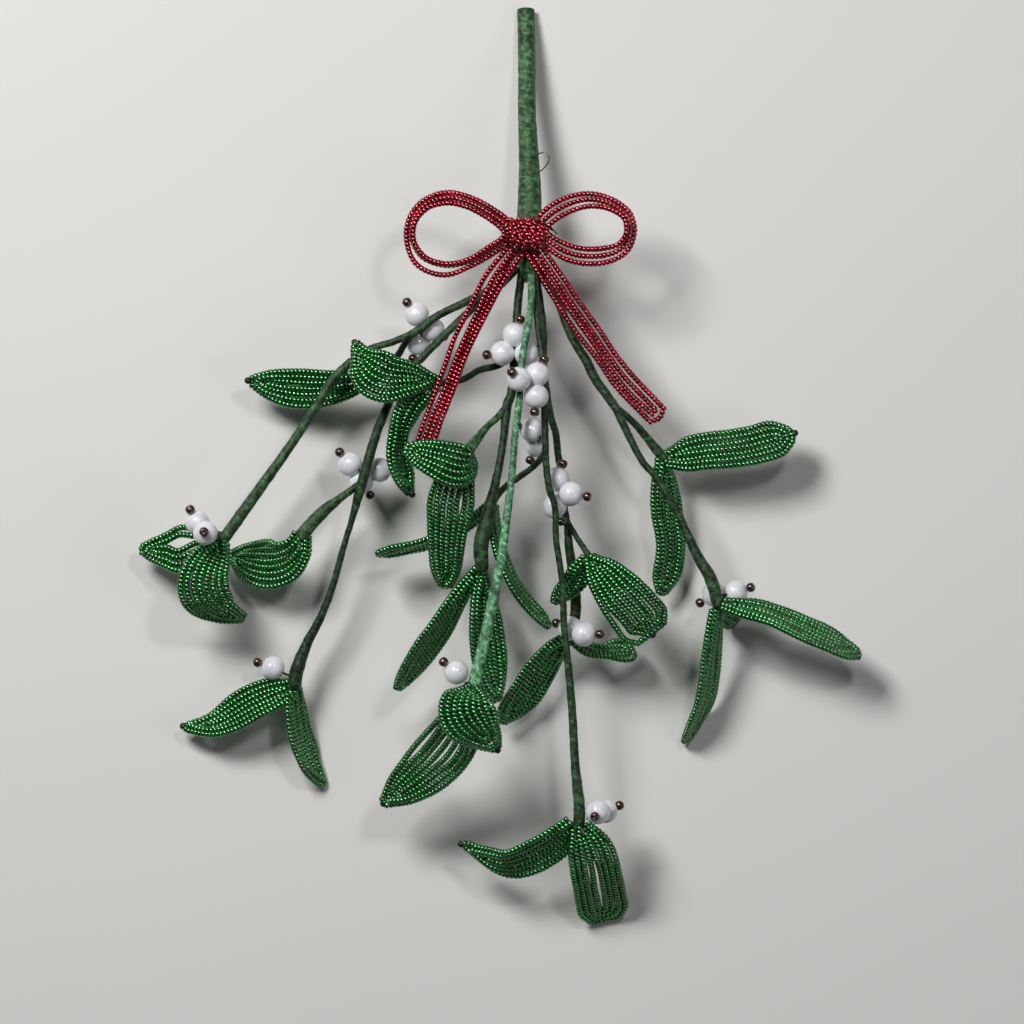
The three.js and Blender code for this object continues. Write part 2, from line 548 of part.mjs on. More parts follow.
// Round-cornered block of bead rows that wrap the middle of the bow.
function knot(grow) {
  const rings = [];
  const width = KNOT_ROWS * ROW;
  for (let k = 0; k <= KNOT_ROWS * 2; k += 1) {
    const shrink = k % 2 ? 1 : KNOT_GROOVE;
    const ends = k === 0 || k === KNOT_ROWS * 2 ? KNOT_ENDS : 1;
    const x = KNOT_CENTRE[0] + (k / KNOT_ROWS - 1) * (width / 2 + grow);
    rings.push(Array.from({ length: KNOT_SIDES }, (_, side) => {
      const angle = (side / KNOT_SIDES) * 2 * Math.PI;
      const square = Math.abs(Math.cos(angle)) ** KNOT_CORNERS + Math.abs(Math.sin(angle)) ** KNOT_CORNERS;
      const reach = shrink * ends * square ** (-1 / KNOT_CORNERS);
      return new THREE.Vector3(
        x,
        KNOT_CENTRE[1] + Math.cos(angle) * reach * (KNOT_HEIGHT / 2 + grow),
        KNOT_CENTRE[2] + Math.sin(angle) * reach * (KNOT_DEPTH / 2 + grow),
      );
    }));
  }
  return skin(rings);
}

// --- berries --------------------------------------------------------------------------------

function pearls(cluster, grow) {
  return join(cluster.pearls.map(([centre]) => {
    const ball = new THREE.SphereGeometry(PEARL_RADIUS + grow, PEARL_SIDES, PEARL_RINGS);
    return solidFromGeometry(ball.translate(...centre));
  }));
}

// Bronze wires of a cluster, with the stop bead of each pearl.
function wires(cluster, grow) {
  const hub = new THREE.Vector3(...cluster.hub);
  return join(cluster.pearls.map(([spot, way]) => {
    const centre = new THREE.Vector3(...spot);
    const out = new THREE.Vector3(...way).normalize();
    const stop = centre.clone().addScaledVector(out, PEARL_RADIUS + STOP_GAP + STOP_HALF);
    const line = [hub, centre, stop].map((p) => [p.x, p.y, p.z, WIRE_RADIUS]);
    const half = STOP_HALF + grow;
    const face = STOP_FACE * STOP_RADIUS;
    const profile = [[0, -half], [face, -half], [STOP_RADIUS + grow, 0], [face, half], [0, half]]
      .map(([x, y]) => new THREE.Vector2(x, y));
    const bead = new THREE.LatheGeometry(profile, STOP_SIDES);
    bead.applyQuaternion(new THREE.Quaternion().setFromUnitVectors(new THREE.Vector3(0, 1, 0), out));
    bead.translate(...stop);
    return tube(line, WIRE_SIDES, grow).add(solidFromGeometry(bead));
  }));
}

// --- the bunch --------------------------------------------------------------------------------

const two = (number) => String(number).padStart(2, '0');

// Every piece, the ones that give way to the pieces before them last.
const pieces = [
  ...Object.entries(STEMS).map(([name, { finish, branches }]) => (
    { name, finish, make: (grow) => stem(branches, grow) })),
  ...BERRIES.map((cluster, i) => (
    { name: `berry_wires_${two(i + 1)}`, finish: 'bronze', make: (grow) => wires(cluster, grow) })),
  ...BERRIES.map((cluster, i) => (
    { name: `berries_${two(i + 1)}`, finish: 'pearl', make: (grow) => pearls(cluster, grow) })),
  ...LEAVES.map((leaf, i) => (
    { name: `leaf_${two(i + 1)}`, finish: 'bead', make: (grow) => leafBlade(leaf, grow) })),
  { name: 'bow_tails', finish: 'redBead', make: (grow) => join(TAILS.map((line) => tail(line, grow))) },
  ...Object.entries(LOOPS).map(([name, line]) => (
    { name, finish: 'redBead', make: (grow) => loopBand(line, grow) })),
  { name: 'bow_knot', finish: 'redBead', make: (grow) => knot(grow) },
];

// The largest connected body of a solid, as positions and triangles.
function largestBody(solid) {
  const mesh = solid.getMesh();
  const owner = Array.from({ length: mesh.vertProperties.length / 3 }, (_, i) => i);
  const root = (i) => {
    let at = i;
    while (owner[at] !== at) at = owner[at];
    return at;
  };
  const corners = mesh.triVerts;
  for (let i = 0; i < corners.length; i += 3) {
    owner[root(corners[i + 1])] = root(corners[i]);
    owner[root(corners[i + 2])] = root(corners[i]);
  }
  const sizes = new Map();
  for (let i = 0; i < corners.length; i += 3) {
    sizes.set(root(corners[i]), (sizes.get(root(corners[i])) ?? 0) + 1);
  }
  const largest = [...sizes].sort((a, b) => b[1] - a[1])[0][0];
  const kept = [];
  for (let i = 0; i < corners.length; i += 3) {
    if (root(corners[i]) === largest) kept.push(corners[i], corners[i + 1], corners[i + 2]);
  }
  const geometry = new THREE.BufferGeometry();
  geometry.setAttribute('position', new THREE.BufferAttribute(mesh.vertProperties, 3));
  geometry.setIndex(kept);
  return geometry.toNonIndexed();
}

function boxOf(solid) {
  const mesh = solid.getMesh();
  return new THREE.Box3().setFromArray(mesh.vertProperties);
}

// The table top: what reaches below it is cut flat.
function belowTable() {
  const slab = new THREE.BoxGeometry(TABLE_SIDE, TABLE_SIDE, TABLE_DEPTH);
  return solidFromGeometry(slab.translate(0, 0, -TABLE_DEPTH / 2));
}

function build() {
  const group = new THREE.Group();
  const table = belowTable();
  const earlier = [];
  for (const { name, finish, make } of pieces) {
    let solid = make(0);
    const box = boxOf(solid);
    if (box.min.z < 0) solid = solid.subtract(table);
    for (const other of earlier) {
      if (box.intersectsBox(other.box)) solid = solid.subtract(other.grown);
    }
    const grown = make(GAP);
    earlier.push({ grown, box: boxOf(grown) });
    const geometry = largestBody(solid);
    geometry.computeVertexNormals();
    const mesh = new THREE.Mesh(geometry, new THREE.MeshStandardMaterial(COLOURS[finish]));
    mesh.name = name;
    group.add(mesh);
  }
  const bounds = new THREE.Box3().setFromObject(group);
  const centre = bounds.getCenter(new THREE.Vector3());
  group.position.set(-centre.x, -centre.y, -bounds.min.z);
  return group;
}

export default build();
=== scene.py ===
"""A bunch of mistletoe made of glass seed beads, lying on a pale table.

Wire strung with beads makes the leaves and the bow, pearls make the berries, and wrapped
tape covers the stems. Lengths in the tables are millimetres, and the scene is in metres.
"""
import itertools
import math

import bpy
from bpy.props import FloatProperty, FloatVectorProperty, IntProperty, PointerProperty
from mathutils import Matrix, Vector, noise


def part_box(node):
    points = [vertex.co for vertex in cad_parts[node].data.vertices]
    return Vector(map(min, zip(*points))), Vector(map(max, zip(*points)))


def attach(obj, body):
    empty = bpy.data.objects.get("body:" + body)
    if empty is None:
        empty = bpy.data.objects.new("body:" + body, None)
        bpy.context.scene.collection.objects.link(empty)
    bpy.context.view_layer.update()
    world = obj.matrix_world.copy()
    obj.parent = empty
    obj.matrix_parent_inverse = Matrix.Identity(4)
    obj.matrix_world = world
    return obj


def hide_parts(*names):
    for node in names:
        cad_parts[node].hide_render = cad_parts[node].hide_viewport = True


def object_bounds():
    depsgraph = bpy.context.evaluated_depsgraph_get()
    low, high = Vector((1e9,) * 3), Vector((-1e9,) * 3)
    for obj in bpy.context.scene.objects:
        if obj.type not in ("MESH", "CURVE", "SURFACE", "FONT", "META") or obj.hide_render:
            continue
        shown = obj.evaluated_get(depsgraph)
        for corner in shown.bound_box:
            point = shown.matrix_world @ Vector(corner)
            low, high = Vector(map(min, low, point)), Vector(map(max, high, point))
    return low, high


bl_info = {
    "name": "Beaded Mistletoe Bunch",
    "version": (1, 0, 0),
    "blender": (4, 5, 0),
    "location": "View3D > Sidebar > Mistletoe",
    "description": "Strings a bunch of beaded mistletoe with pearls, taped stems and a bow",
    "category": "Object",
}

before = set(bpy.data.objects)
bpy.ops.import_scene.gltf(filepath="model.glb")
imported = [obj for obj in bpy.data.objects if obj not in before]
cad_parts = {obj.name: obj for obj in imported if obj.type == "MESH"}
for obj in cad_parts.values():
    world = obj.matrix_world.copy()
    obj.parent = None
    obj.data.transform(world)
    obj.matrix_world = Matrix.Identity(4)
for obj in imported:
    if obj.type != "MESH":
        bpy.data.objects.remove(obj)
CAD_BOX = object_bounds()

MM = 0.001
UP = Vector((0, 0, 1))
PATH_STEPS = 10  # samples between two points of a line

ROW = 2.1  # width of one row of seed beads
LEAF_STRANDS = 7  # rows of beads in most leaves
LEAF_CUP = 0.6  # how far a leaf's edges rise above its middle
LEAF_STEPS = 48  # points along one strand of a leaf or tail
TIP_CROWD = 0.66  # how close the rows press together before one ends, at the tip
BASE_CROWD = 0.62  # and at the base
TIP_GAP = 0.95  # rows from the end of one pair of strands to the end of the pair inside it
FADE_ROWS = 1.2  # rows over which a strand takes up its width
WHOLE = 0.999  # a strand is drawn where it has this share of its width
SLIT_EASE = 0.35  # share of a slit over which it opens, and closes again
SCAN_STEPS = 400  # places where a leaf's width is compared with its rows
SWAY = 0.15  # how far a strand strays sideways
HEAVE = 0.3  # and up and down

BEAD_PROFILE = [(0.76, -1), (0.96, -0.6), (1, 0), (0.96, 0.6), (0.76, 1)]  # (radius, half length)
BEAD_SIDES = 8
HEADROOM = 1.05  # how many times its own radius a bead's middle stays under the frame's top
THREAD_SIDES = 5
GREEN_GLOSS, RED_GLOSS = 0.75, 0.5
SHADE_SEED = 17  # keeps how beads vary in colour apart from how they vary in size

PEARL_RADIUS = 4.0
PEARL_RINGS = 16
PEARL_SIDES = 26
PEARL_POLE = 0.02  # share of the half turn left flat at each end of a pearl
STOP_RADIUS = 1.55
STOP_HALF = 1.25
STOP_GAP = 0.1  # from a pearl to the bead that stops it
STOP_PROFILE = [(0.55, -1), (0.85, -0.75), (1, -0.25), (1, 0.25), (0.85, 0.75), (0.55, 1),
                (0.3, 1), (0.3, 0.6)]  # (radius, half length)
STOP_SIDES = 14
BERRY_WIRE = (0.35, 8)  # radius and sides of a wire
KNOT_WIRE = (0.3, 6)
LOOP_WIRE = (0.2, 6)

STEM_SIDES = 14
STEM_STEPS = 16  # samples between two points of a branch
WRINKLE = 0.12  # depth of the tape's wrinkles

# Stems: each branch is a list of (x, y, z, radius).
STEMS = {
    "stem_trunk": ("stem_tape", [
        [(8, 147.2, 1.9, 2.9), (8.3, 130, 7.6, 2.9), (8.3, 114.6, 13, 2.95), (9, 98, 18.2, 3.35),
         (9.2, 85.8, 22, 3.9), (8.6, 74, 25, 3.9), (8.6, 66.5, 26, 3.6), (9.2, 61, 26.5, 2.2)],
        [(10.3, 63.5, 26.5, 1.3), (11.8, 46.1, 34, 1.2), (13.1, 36.5, 37, 1.2),
         (13.8, 21.8, 37.2, 1.2), (14.1, 10.6, 37.5, 1.2), (14.4, 1.6, 36.5, 1.2),
         (15.4, -6.1, 35.5, 1.2), (17.3, -13.1, 34.5, 1.1), (17.6, -22.7, 33.5, 1.1),
         (18.9, -31.4, 32.5, 1.1), (19.8, -39, 31.5, 1.1), (20.2, -50.2, 30, 1.2),
         (22.1, -69.4, 28.5, 1.3), (23, -81.3, 27.5, 1.4), (23.7, -94.4, 27, 1.5),
         (25, -107.5, 26.5, 1.9), (25, -113.6, 26, 2)],
        [(14.2, 5, 36.8, 1.1), (10.8, 0.8, 31, 1.1), (5.4, -3.2, 26, 1.1), (0.6, -6.7, 23.5, 1.1),
         (-2.9, -11.2, 22, 1.4)],
        [(10.8, 64.5, 24.2, 1.3), (13.4, 46.1, 23.5, 1.2), (13.8, 31.4, 23.5, 1.2),
         (15.6, 18.2, 23.5, 1.2), (17.6, 10.6, 23, 1.2), (18.2, 4.8, 22.5, 1.2),
         (19.2, -1.3, 22, 1.2), (19.8, -10.2, 22, 1.3), (21.1, -17.3, 21.5, 1.2),
         (21.8, -25.3, 20.5, 1.5), (23, -33.6, 19, 1.7), (24, -44.8, 17, 1.8),
         (22.4, -53.1, 16, 1.7)],
        [(21, -16.8, 21.5, 1), (24.6, -22.7, 25, 0.95), (28.2, -28.2, 29.5, 1.1)],
    ]),
    "stem_left": ("stem_tape", [
        [(5.4, 64, 25, 1.35), (-1.5, 58.5, 26.5, 1.35), (-9.3, 54.1, 27.5, 1.35),
         (-20.5, 48.6, 28, 1.3), (-26.9, 43.8, 28, 1.4), (-34, 40.6, 27, 1.2),
         (-41.9, 38.1, 26, 1.25), (-47, 34.9, 25.5, 1.4), (-53.8, 28.2, 25, 1.6),
         (-59.5, 19.2, 24.5, 1.5), (-68.2, 6.1, 24, 1.6), (-81, -11.8, 23, 1.9),
         (-88.6, -22.4, 22, 2)],
        [(-26.9, 43.8, 27.5, 1.2), (-29.5, 41.8, 25, 1.1), (-33, 36.2, 20.5, 1.2),
         (-37.1, 30.7, 18, 1.5)],
        [(4.4, 63.2, 23.6, 1.35), (-0.3, 58.6, 23.2, 1.35), (-13.1, 47.4, 25, 1.3),
         (-27.2, 33.3, 26, 1.3), (-33.6, 25.6, 25.5, 1.3), (-36.2, 20.2, 25, 1.4),
         (-40.3, 9.9, 24, 1.6), (-44.8, -5.8, 23, 1.7), (-47.7, -16.3, 21.5, 1.1),
         (-50.6, -25.9, 20, 1.1), (-54.1, -38.4, 18, 1.2), (-57.9, -48, 16.5, 1.4),
         (-62.1, -56, 15, 1.7), (-65.3, -64.3, 14, 2.3), (-66.2, -69.4, 13.5, 2.2)],
        [(-44.4, -4.6, 23, 1.3), (-50.6, -9, 22, 1.3), (-56.3, -13.4, 21, 2),
         (-60.8, -17.9, 20.5, 2.2), (-63.7, -21.4, 20, 2.3)],
    ]),
    "stem_inner": ("stem_tape", [
        [(6.6, 62.5, 23.5, 1.3), (5.4, 52.2, 26, 1.4), (4.5, 39.4, 27.5, 1.4), (3.5, 25, 29, 1.5),
         (1.9, 19.5, 29.5, 1.6), (0.6, 7.7, 30, 1.3), (-1.6, -4.2, 30.5, 1.5),
         (-4.8, -17.6, 31, 2.4), (-6.4, -25, 31, 2.5), (-6.1, -31.7, 30.5, 2.2)],
        [(4, 35.5, 27.8, 1.2), (-1.9, 32.5, 27.5, 1.2), (-6.7, 31.4, 30, 1.15),
         (-12.5, 28.2, 32, 1.15), (-19.5, 27.2, 34, 1.4)],
        [(1.9, 19.5, 29.5, 1.3), (-1.9, 15.4, 31.5, 1.15), (-4.8, 12.8, 33.5, 1.2),
         (-10.2, 5.8, 38.5, 2)],
    ]),
    "stem_pale": ("pale_tape", [
        [(9.6, 61.8, 30.2, 1.25), (9.6, 52.2, 34, 1.2), (8.3, 43.2, 37.3, 1.15),
         (6.7, 34.2, 39.3, 1.2), (5.8, 20.8, 41.5, 1.2), (4.5, 10.6, 43, 1.2), (3.8, 1.6, 44, 1.2),
         (2.6, -10.2, 45, 1.3), (0.3, -27.2, 45.5, 1.5), (-1.9, -39, 46, 1.7),
         (-4.8, -53.1, 46, 1.9), (-7.4, -64, 46, 2), (-8.6, -69.1, 46, 2.1)],
    ]),
    "stem_right": ("stem_tape", [
        [(12, 65.3, 21.4, 1.5), (17.9, 54.4, 22, 1.5), (22.4, 42.6, 23, 1.5),
         (27.2, 34.6, 23.5, 1.6), (30.4, 28.2, 23.5, 1.6), (36.8, 19.2, 23.5, 1.5),
         (39, 14.4, 23.5, 1.3),
         (44.8, 2.9, 23.5, 1.2), (49.3, -2.6, 23.5, 1.2), (55.7, -12.8, 23, 1.3),
         (58.9, -19.5, 22.5, 1.4), (63, -28.2, 22, 1.7), (67.2, -35.5, 22, 2.1),
         (69.4, -42.9, 22, 2.1)],
        [(36.4, 19.8, 23.3, 1.2), (40.3, 16.6, 21.5, 1.2), (44.2, 12.8, 19, 1.3),
         (47.7, 8.6, 17, 1.5), (51.8, 3.5, 16, 1.8)],
    ]),
}

# How light the tape of each branch is at its start and end.
STEM_TONES = {
    "stem_trunk": [(1.5, 1.3), (0.5, 0.9), (0.5, 0.8), (0.7, 0.7), (0.6, 0.6)],
    "stem_left": [(0.6, 1.1), (0.4, 0.6), (0.8, 0.5), (0.8, 1.3)],
    "stem_inner": [(0.35, 0.9), (0.4, 0.6), (0.9, 2)],
    "stem_pale": [(0.75, 1.05)],
    "stem_right": [(0.45, 0.8), (0.7, 1.1)],
}

# How a branch rounds off past its last point: (length, share of its last radius).
STEM_END = [(0.9, 0.92), (1.5, 0.7), (1.8, 0.35)]

# Berries: the hub of a cluster's wires, then each pearl's centre and the way its wire leaves it.
BERRIES = [
    ((-25.2, 44.4, 25.9), [((-27, 49.2, 24.5), (-2.4, 3, 1.5)), ((-26.4, 40, 20.3), (-1.5, -4, -1)),
                           ((-22, 44.4, 22.9), (3.5, -2, -3))]),
    ((4.9, 40, 29.8), [((4.4, 42.6, 32.6), (1.7, 4.8, 1)), ((0.4, 36.7, 32.6), (-3.8, -0.4, 1.5)),
                       ((8.2, 36.6, 33), (4, 1.5, -3))]),
    ((8.3, 27.3, 41.1), [((5.7, 28.3, 46.1), (-2.2, 2.2, 4.2)), ((11.6, 29.9, 42.7), (2.2, 4.6, 1)),
                         ((11.3, 22.9, 43.2), (-0.5, -4.7, 1.5))]),
    ((12.6, 10, 36), [((9.9, 12.2, 33), (-3.4, 1, 1.5)), ((11.6, 7.3, 28.2), (-1.9, -4, -0.5))]),
    ((19.8, -8.6, 24.2), [((22.4, -8.3, 31), (4.8, -0.8, 1)), ((18, -3.6, 28.4), (1.6, 4.5, -1)),
                          ((17.1, -12.3, 28.4), (2.1, -4.7, -1))]),
    ((-44.6, -1.4, 21.2), [((-48.4, 1.3, 18.8), (-2.8, 3.2, 1.5)), ((-39, -0.6, 17), (4, 2, -2)),
                           ((-44.8, -4.2, 17), (2.4, -3.8, -1))]),
    ((-90.1, -20.7, 23.6), [((-97.2, -17.4, 27.6), (-1.8, 3.3, 2)),
                            ((-94.5, -20.8, 33.1), (-0.3, 0.3, 4))]),
    ((-68.1, -66.5, 12.6), [((-73.3, -64.2, 10.5), (-4.1, 1.6, 1))]),
    ((-11.2, -67.6, 46.4), [((-14.3, -65.2, 46.5), (-3.3, 2.7, 1))]),
    ((24.6, -51.6, 18), [((26.5, -53.2, 27.6), (4.7, 0, 1.5)),
                         ((22.2, -51.4, 22.5), (-4, 1.5, -2))]),
    ((71.2, -40.7, 19.8), [((75.2, -39.8, 16.3), (4.4, 1.4, 1.5)),
                           ((68.3, -40.5, 15.2), (-4.4, -2.7, -1))]),
    ((27.5, -112.4, 26.4), [((31, -110, 31.2), (-0.9, -1.3, 4.6)),
                            ((33.4, -109.8, 24.7), (4, 1.5, -2))]),
]
SINGLE_PEARL = ("berries_08", BERRIES[7][1][0][0])  # it shows where the frame's origin lies

# Leaves: `line` runs from base to tip and `widths` are spread evenly along it. `up` or `roll`
# turns the face, `strands` is how many rows of beads there are, and `row` is their width. A slit
# opens beside a strand, counted from the left: (strand, from share, to share, part of the spare
# width).
LEAVES = [
    {"line": [(-37.8, 30.1, 18), (-51.5, 26.2, 17), (-65.9, 25.6, 15), (-81.8, 28.2, 14)],
     "widths": (2.5, 6.2, 10.4, 12.9, 13, 9.4, 2.4), "roll": (14, 14)},
    {"line": [(-20.5, 27.9, 34.2), (-29.1, 28.5, 38), (-37.1, 28.8, 39.5), (-43.2, 33, 37),
              (-47, 40.6, 32)],
     "widths": (2.5, 8, 12.5, 16.4, 15, 7, 2.4), "strands": 8,
     "up": [(0, 0.2, 1), (0, 0, 1), (-0.3, 0.1, 1), (-0.5, 0.5, 0.7)]},
    {"line": [(-20.5, 26.2, 33.4), (-28.2, 21.1, 34), (-32.3, 11.5, 32.5), (-32.6, 1.9, 30),
              (-28.2, -9, 28)],
     "widths": (3.5, 8.5, 9.4, 7.2, 9.8, 9.4, 2.4), "roll": (20, 66)},
    {"line": [(-10.6, 5.2, 40), (-9.6, 1.4, 43.5), (-13.5, 0.6, 47), (-21.5, 3.2, 47.5),
              (-31.2, 6.5, 43)],
     "widths": (4, 11, 14.7, 13.8, 11.2, 8, 3.4),
     "up": [(0.9, 0, 0.3), (0.7, -0.3, 0.7), (0, 0, 1), (0, 0.1, 1), (0, 0.1, 1)]},
    {"line": [(-10.6, 4.4, 37.8), (-14.9, -5.4, 39), (-17.2, -21.4, 34), (-17.7, -39.7, 23)],
     "widths": (4, 12, 15.2, 13.4, 11.4, 9.4, 3.4), "roll": (0, 0), "slits": [(1, 0.16, 0.48, 1)]},
    {"line": [(-3.9, -11.9, 21.5), (-11.5, -18.6, 21), (-24.3, -24, 20), (-41, -28, 19)],
     "widths": (4, 9, 12, 13, 12.5, 10, 3.5), "roll": (76, 76)},
    {"line": [(-7.7, -32.6, 30), (-14.7, -43.8, 29), (-24.3, -57.6, 25), (-33.6, -72.3, 20)],
     "widths": (3, 8, 12, 14.5, 14.7, 11, 2.5), "roll": (56, 60)},
    {"line": [(-6.1, -33.4, 28.6), (-5.4, -45.4, 26), (-4.1, -59.8, 22), (-0.7, -76, 18)],
     "widths": (4, 8, 12.5, 14.5, 14, 10, 2.5), "roll": (38, 38)},
    {"line": [(-2.2, -12.4, 22.5), (-1.1, -23.6, 25), (4.2, -37.7, 27), (16.6, -51.6, 23)],
     "widths": (4, 9, 12, 13, 12.5, 10, 3.5), "roll": (76, 76)},
    {"line": [(21.8, -54, 15.8), (13.8, -62.8, 13), (7.6, -72.3, 11), (-0.6, -82.6, 8)],
     "widths": (4, 9, 13, 14.7, 14.2, 10.5, 2.8), "roll": (44, 44)},
    {"line": [(22.8, -54, 16), (28.5, -57.9, 17), (35.5, -58.6, 15), (43.4, -58.6, 10)],
     "widths": (3.5, 8.6, 7.2, 6.6, 9.6, 10, 3.4), "strands": 5, "roll": (70, 35)},
    {"line": [(28.6, -28.9, 30), (34.5, -36, 34), (41.5, -44.5, 34), (48.8, -53.8, 27)],
     "widths": (4, 10.5, 14.5, 16.8, 17.8, 17.8, 11.5), "roll": (0, 0), "strands": 8,
     "slits": [(6, 0.15, 0.98, 1)]},
    {"line": [(27.4, -29.2, 28.3), (23.2, -36.4, 26), (16.6, -43.8, 22.6)],
     "widths": (3.5, 8, 9.6, 9.6, 8.2, 5.6, 2.4), "strands": 5, "roll": (35, 35)},
    {"line": [(-9, -70.1, 47.4), (-10.6, -74.2, 52.6), (-10.6, -78.4, 53.6), (-7.4, -83.2, 51.6),
              (-0.8, -90.4, 44)],
     "widths": (5, 15, 18.4, 17.4, 13.2, 8, 2.4), "strands": 9,
     "up": [(0, 0.9, 0.6), (0, 0.2, 1), (0, -0.3, 1), (0.3, -0.7, 0.6)]},
    {"line": [(-9, -69.6, 45), (-14.7, -85.4, 38), (-24, -96.4, 30), (-38.1, -107.8, 22)],
     "widths": (5, 12, 16.8, 18, 16.4, 11.6, 3.4), "roll": (0, 0),
     "strands": 8, "row": 1.93, "slits": [(2, 0.3, 0.58, 0.2), (3, 0.28, 0.62, 0.25),
                                          (4, 0.26, 0.62, 0.25), (6, 0.24, 0.84, 0.3)]},
    {"line": [(23.4, -114.9, 26), (14.1, -122.2, 24), (1.3, -126.7, 21), (-13.4, -120.3, 16)],
     "widths": (9, 13, 14.6, 14.4, 11, 5.8, 2.6), "roll": (44, 44)},
    {"line": [(25.6, -115, 26), (28.8, -123, 25), (31, -132.6, 17), (33.6, -146, 0.2)],
     "widths": (7, 14.5, 16.2, 16.5, 16.6, 16.4, 10), "roll": (0, 0),
     "strands": 8, "row": 1.93, "slits": [(3, 0.2, 0.88, 0.65), (4, 0.2, 0.56, 0.35)]},
    {"line": [(53.1, 3, 16), (63.7, 5.1, 18), (79.7, 7, 18), (94.8, 11.4, 16)],
     "widths": (6, 12, 13, 13.2, 13.6, 13, 4.2), "roll": (22, 22),
     "slits": [(3, 0.05, 0.35, 0.5), (2, 0.7, 0.9, 0.5)]},
    {"line": [(51.8, 2.9, 15.6), (53, -13.4, 12), (54.4, -26.2, 10), (51.6, -42, 8)],
     "widths": (4, 10, 13.2, 12.2, 12.2, 11.5, 2.6), "roll": (42, 42)},
    {"line": [(69.2, -45.2, 20.6), (67.6, -58.2, 16), (65.6, -72.6, 11), (62.6, -81, 6.5),
              (59, -88.9, 0.3)],
     "widths": (7, 10.5, 12.5, 13.7, 13.7, 11.5, 3), "roll": (65, 65)},
    {"line": [(71.6, -43.4, 23), (86.1, -46.8, 25), (102.1, -54, 22), (116.5, -60, 16)],
     "widths": (6, 11, 12, 13, 14.3, 12, 3), "roll": (55, 55)},
    {"line": [(71, -45, 18.8), (73.8, -47, 9), (75.4, -50, 0.2)],
     "widths": (4, 8, 10, 10, 9, 7, 3), "strands": 5, "up": [(0.5, -0.8, 0), (0.8, -0.5, 0.3)]},
    {"line": [(-89.4, -22.8, 21.4), (-102, -26, 16), (-116.5, -26.2, 9)],
     "widths": (4, 9, 14.4, 16.2, 12.4, 7, 2), "strands": 6, "roll": (-10, -15),
     "slits": [(3, 0.3, 0.97, 1)]},
    {"line": [(-89.4, -23.6, 22.2), (-94.4, -32.6, 27), (-95, -39.7, 29), (-90.6, -45.1, 24),
              (-81.3, -48.5, 21)],
     "widths": (5, 12, 15.4, 16.8, 15.4, 11.6, 4.4), "strands": 8,
     "up": [(0, 0.4, 1), (0, 0.1, 1), (0, -0.6, 0.8), (0.1, -0.9, 0.4), (0, -0.9, 0.4)]},
    {"line": [(-63.8, -21.6, 19.9), (-65.9, -26.6, 19), (-71, -30.4, 15), (-79, -30.4, 9),
              (-87.7, -27.8, 0.3)],
     "widths": (6, 10.5, 15, 16.4, 13.8, 9, 2.6), "strands": 8, "roll": (0, 0), "cup": 1.5},
    {"line": [(-67.9, -70.6, 13), (-78.4, -74.8, 12), (-91.5, -81.8, 9), (-102.7, -82.9, 6)],
     "widths": (8, 13.5, 15, 14.8, 11.6, 6.6, 2.6), "roll": (-40, -40)},
    {"line": [(-66.4, -71.8, 12.6), (-65.2, -84, 9.5), (-61.4, -94, 5.5), (-56.3, -102.3, 0.3)],
     "widths": (9, 11.6, 12.9, 13.6, 12.9, 7.4, 3), "roll": (56, 56)},
]

# Bow loops: each point of the loop, then how its inner and outer strands lie beside the middle
# one there: (lean of the inner in degrees, its slit, lean of the outer, its slit).
FLAT_ROWS = (20, 0, 20, 0)
LOOPS = {
    "bow_loop_left": [
        ((1.6, 77.4, 34), FLAT_ROWS), ((-3.5, 81.4, 34.5), FLAT_ROWS),
        ((-9.9, 84.8, 35), FLAT_ROWS), ((-17, 86.4, 35.5), (15, 0, 20, 0)),
        ((-23.8, 84.4, 36), (40, 0, 35, 0)),
        ((-28, 79.4, 36), (60, 0, 40, 0)), ((-28.4, 73, 36), (75, 0, 25, 0.2)),
        ((-24.8, 67.2, 35.5), (75, 0, 5, 1.3)), ((-17.9, 64.8, 35), (75, 0, 5, 1.4)),
        ((-10.6, 66, 34.5), (75, 0, 10, 0)), ((-3.5, 69.8, 34), (60, 0, 25, 0)),
        ((1.6, 73.6, 34), (60, 0, 30, 0)),
    ],
    "bow_loop_right": [
        ((13.6, 78.8, 34), (20, 0.5, 20, 0.4)), ((19.6, 83.4, 34.5), (20, 0.8, 20, 0.6)),
        ((27.2, 85.8, 35), (20, 0.6, 25, 0.3)), ((34.4, 84.6, 35.5), (25, 0.1, 30, 0.1)),
        ((40, 80.8, 36), (50, 0, 40, 0)), ((41.2, 75.3, 36), (50, 0, 40, 0.1)),
        ((38.8, 70.4, 35.5), (30, 0.1, 30, 0.4)), ((33.2, 68, 35), (20, 0.6, 20, 0.7)),
        ((25.9, 67.8, 34.5), (20, 0.7, 20, 0.7)), ((19.4, 69.8, 34), (25, 0.6, 25, 0.6)),
        ((13.6, 74.2, 34), (30, 0.1, 30, 0.1)),
    ],
}

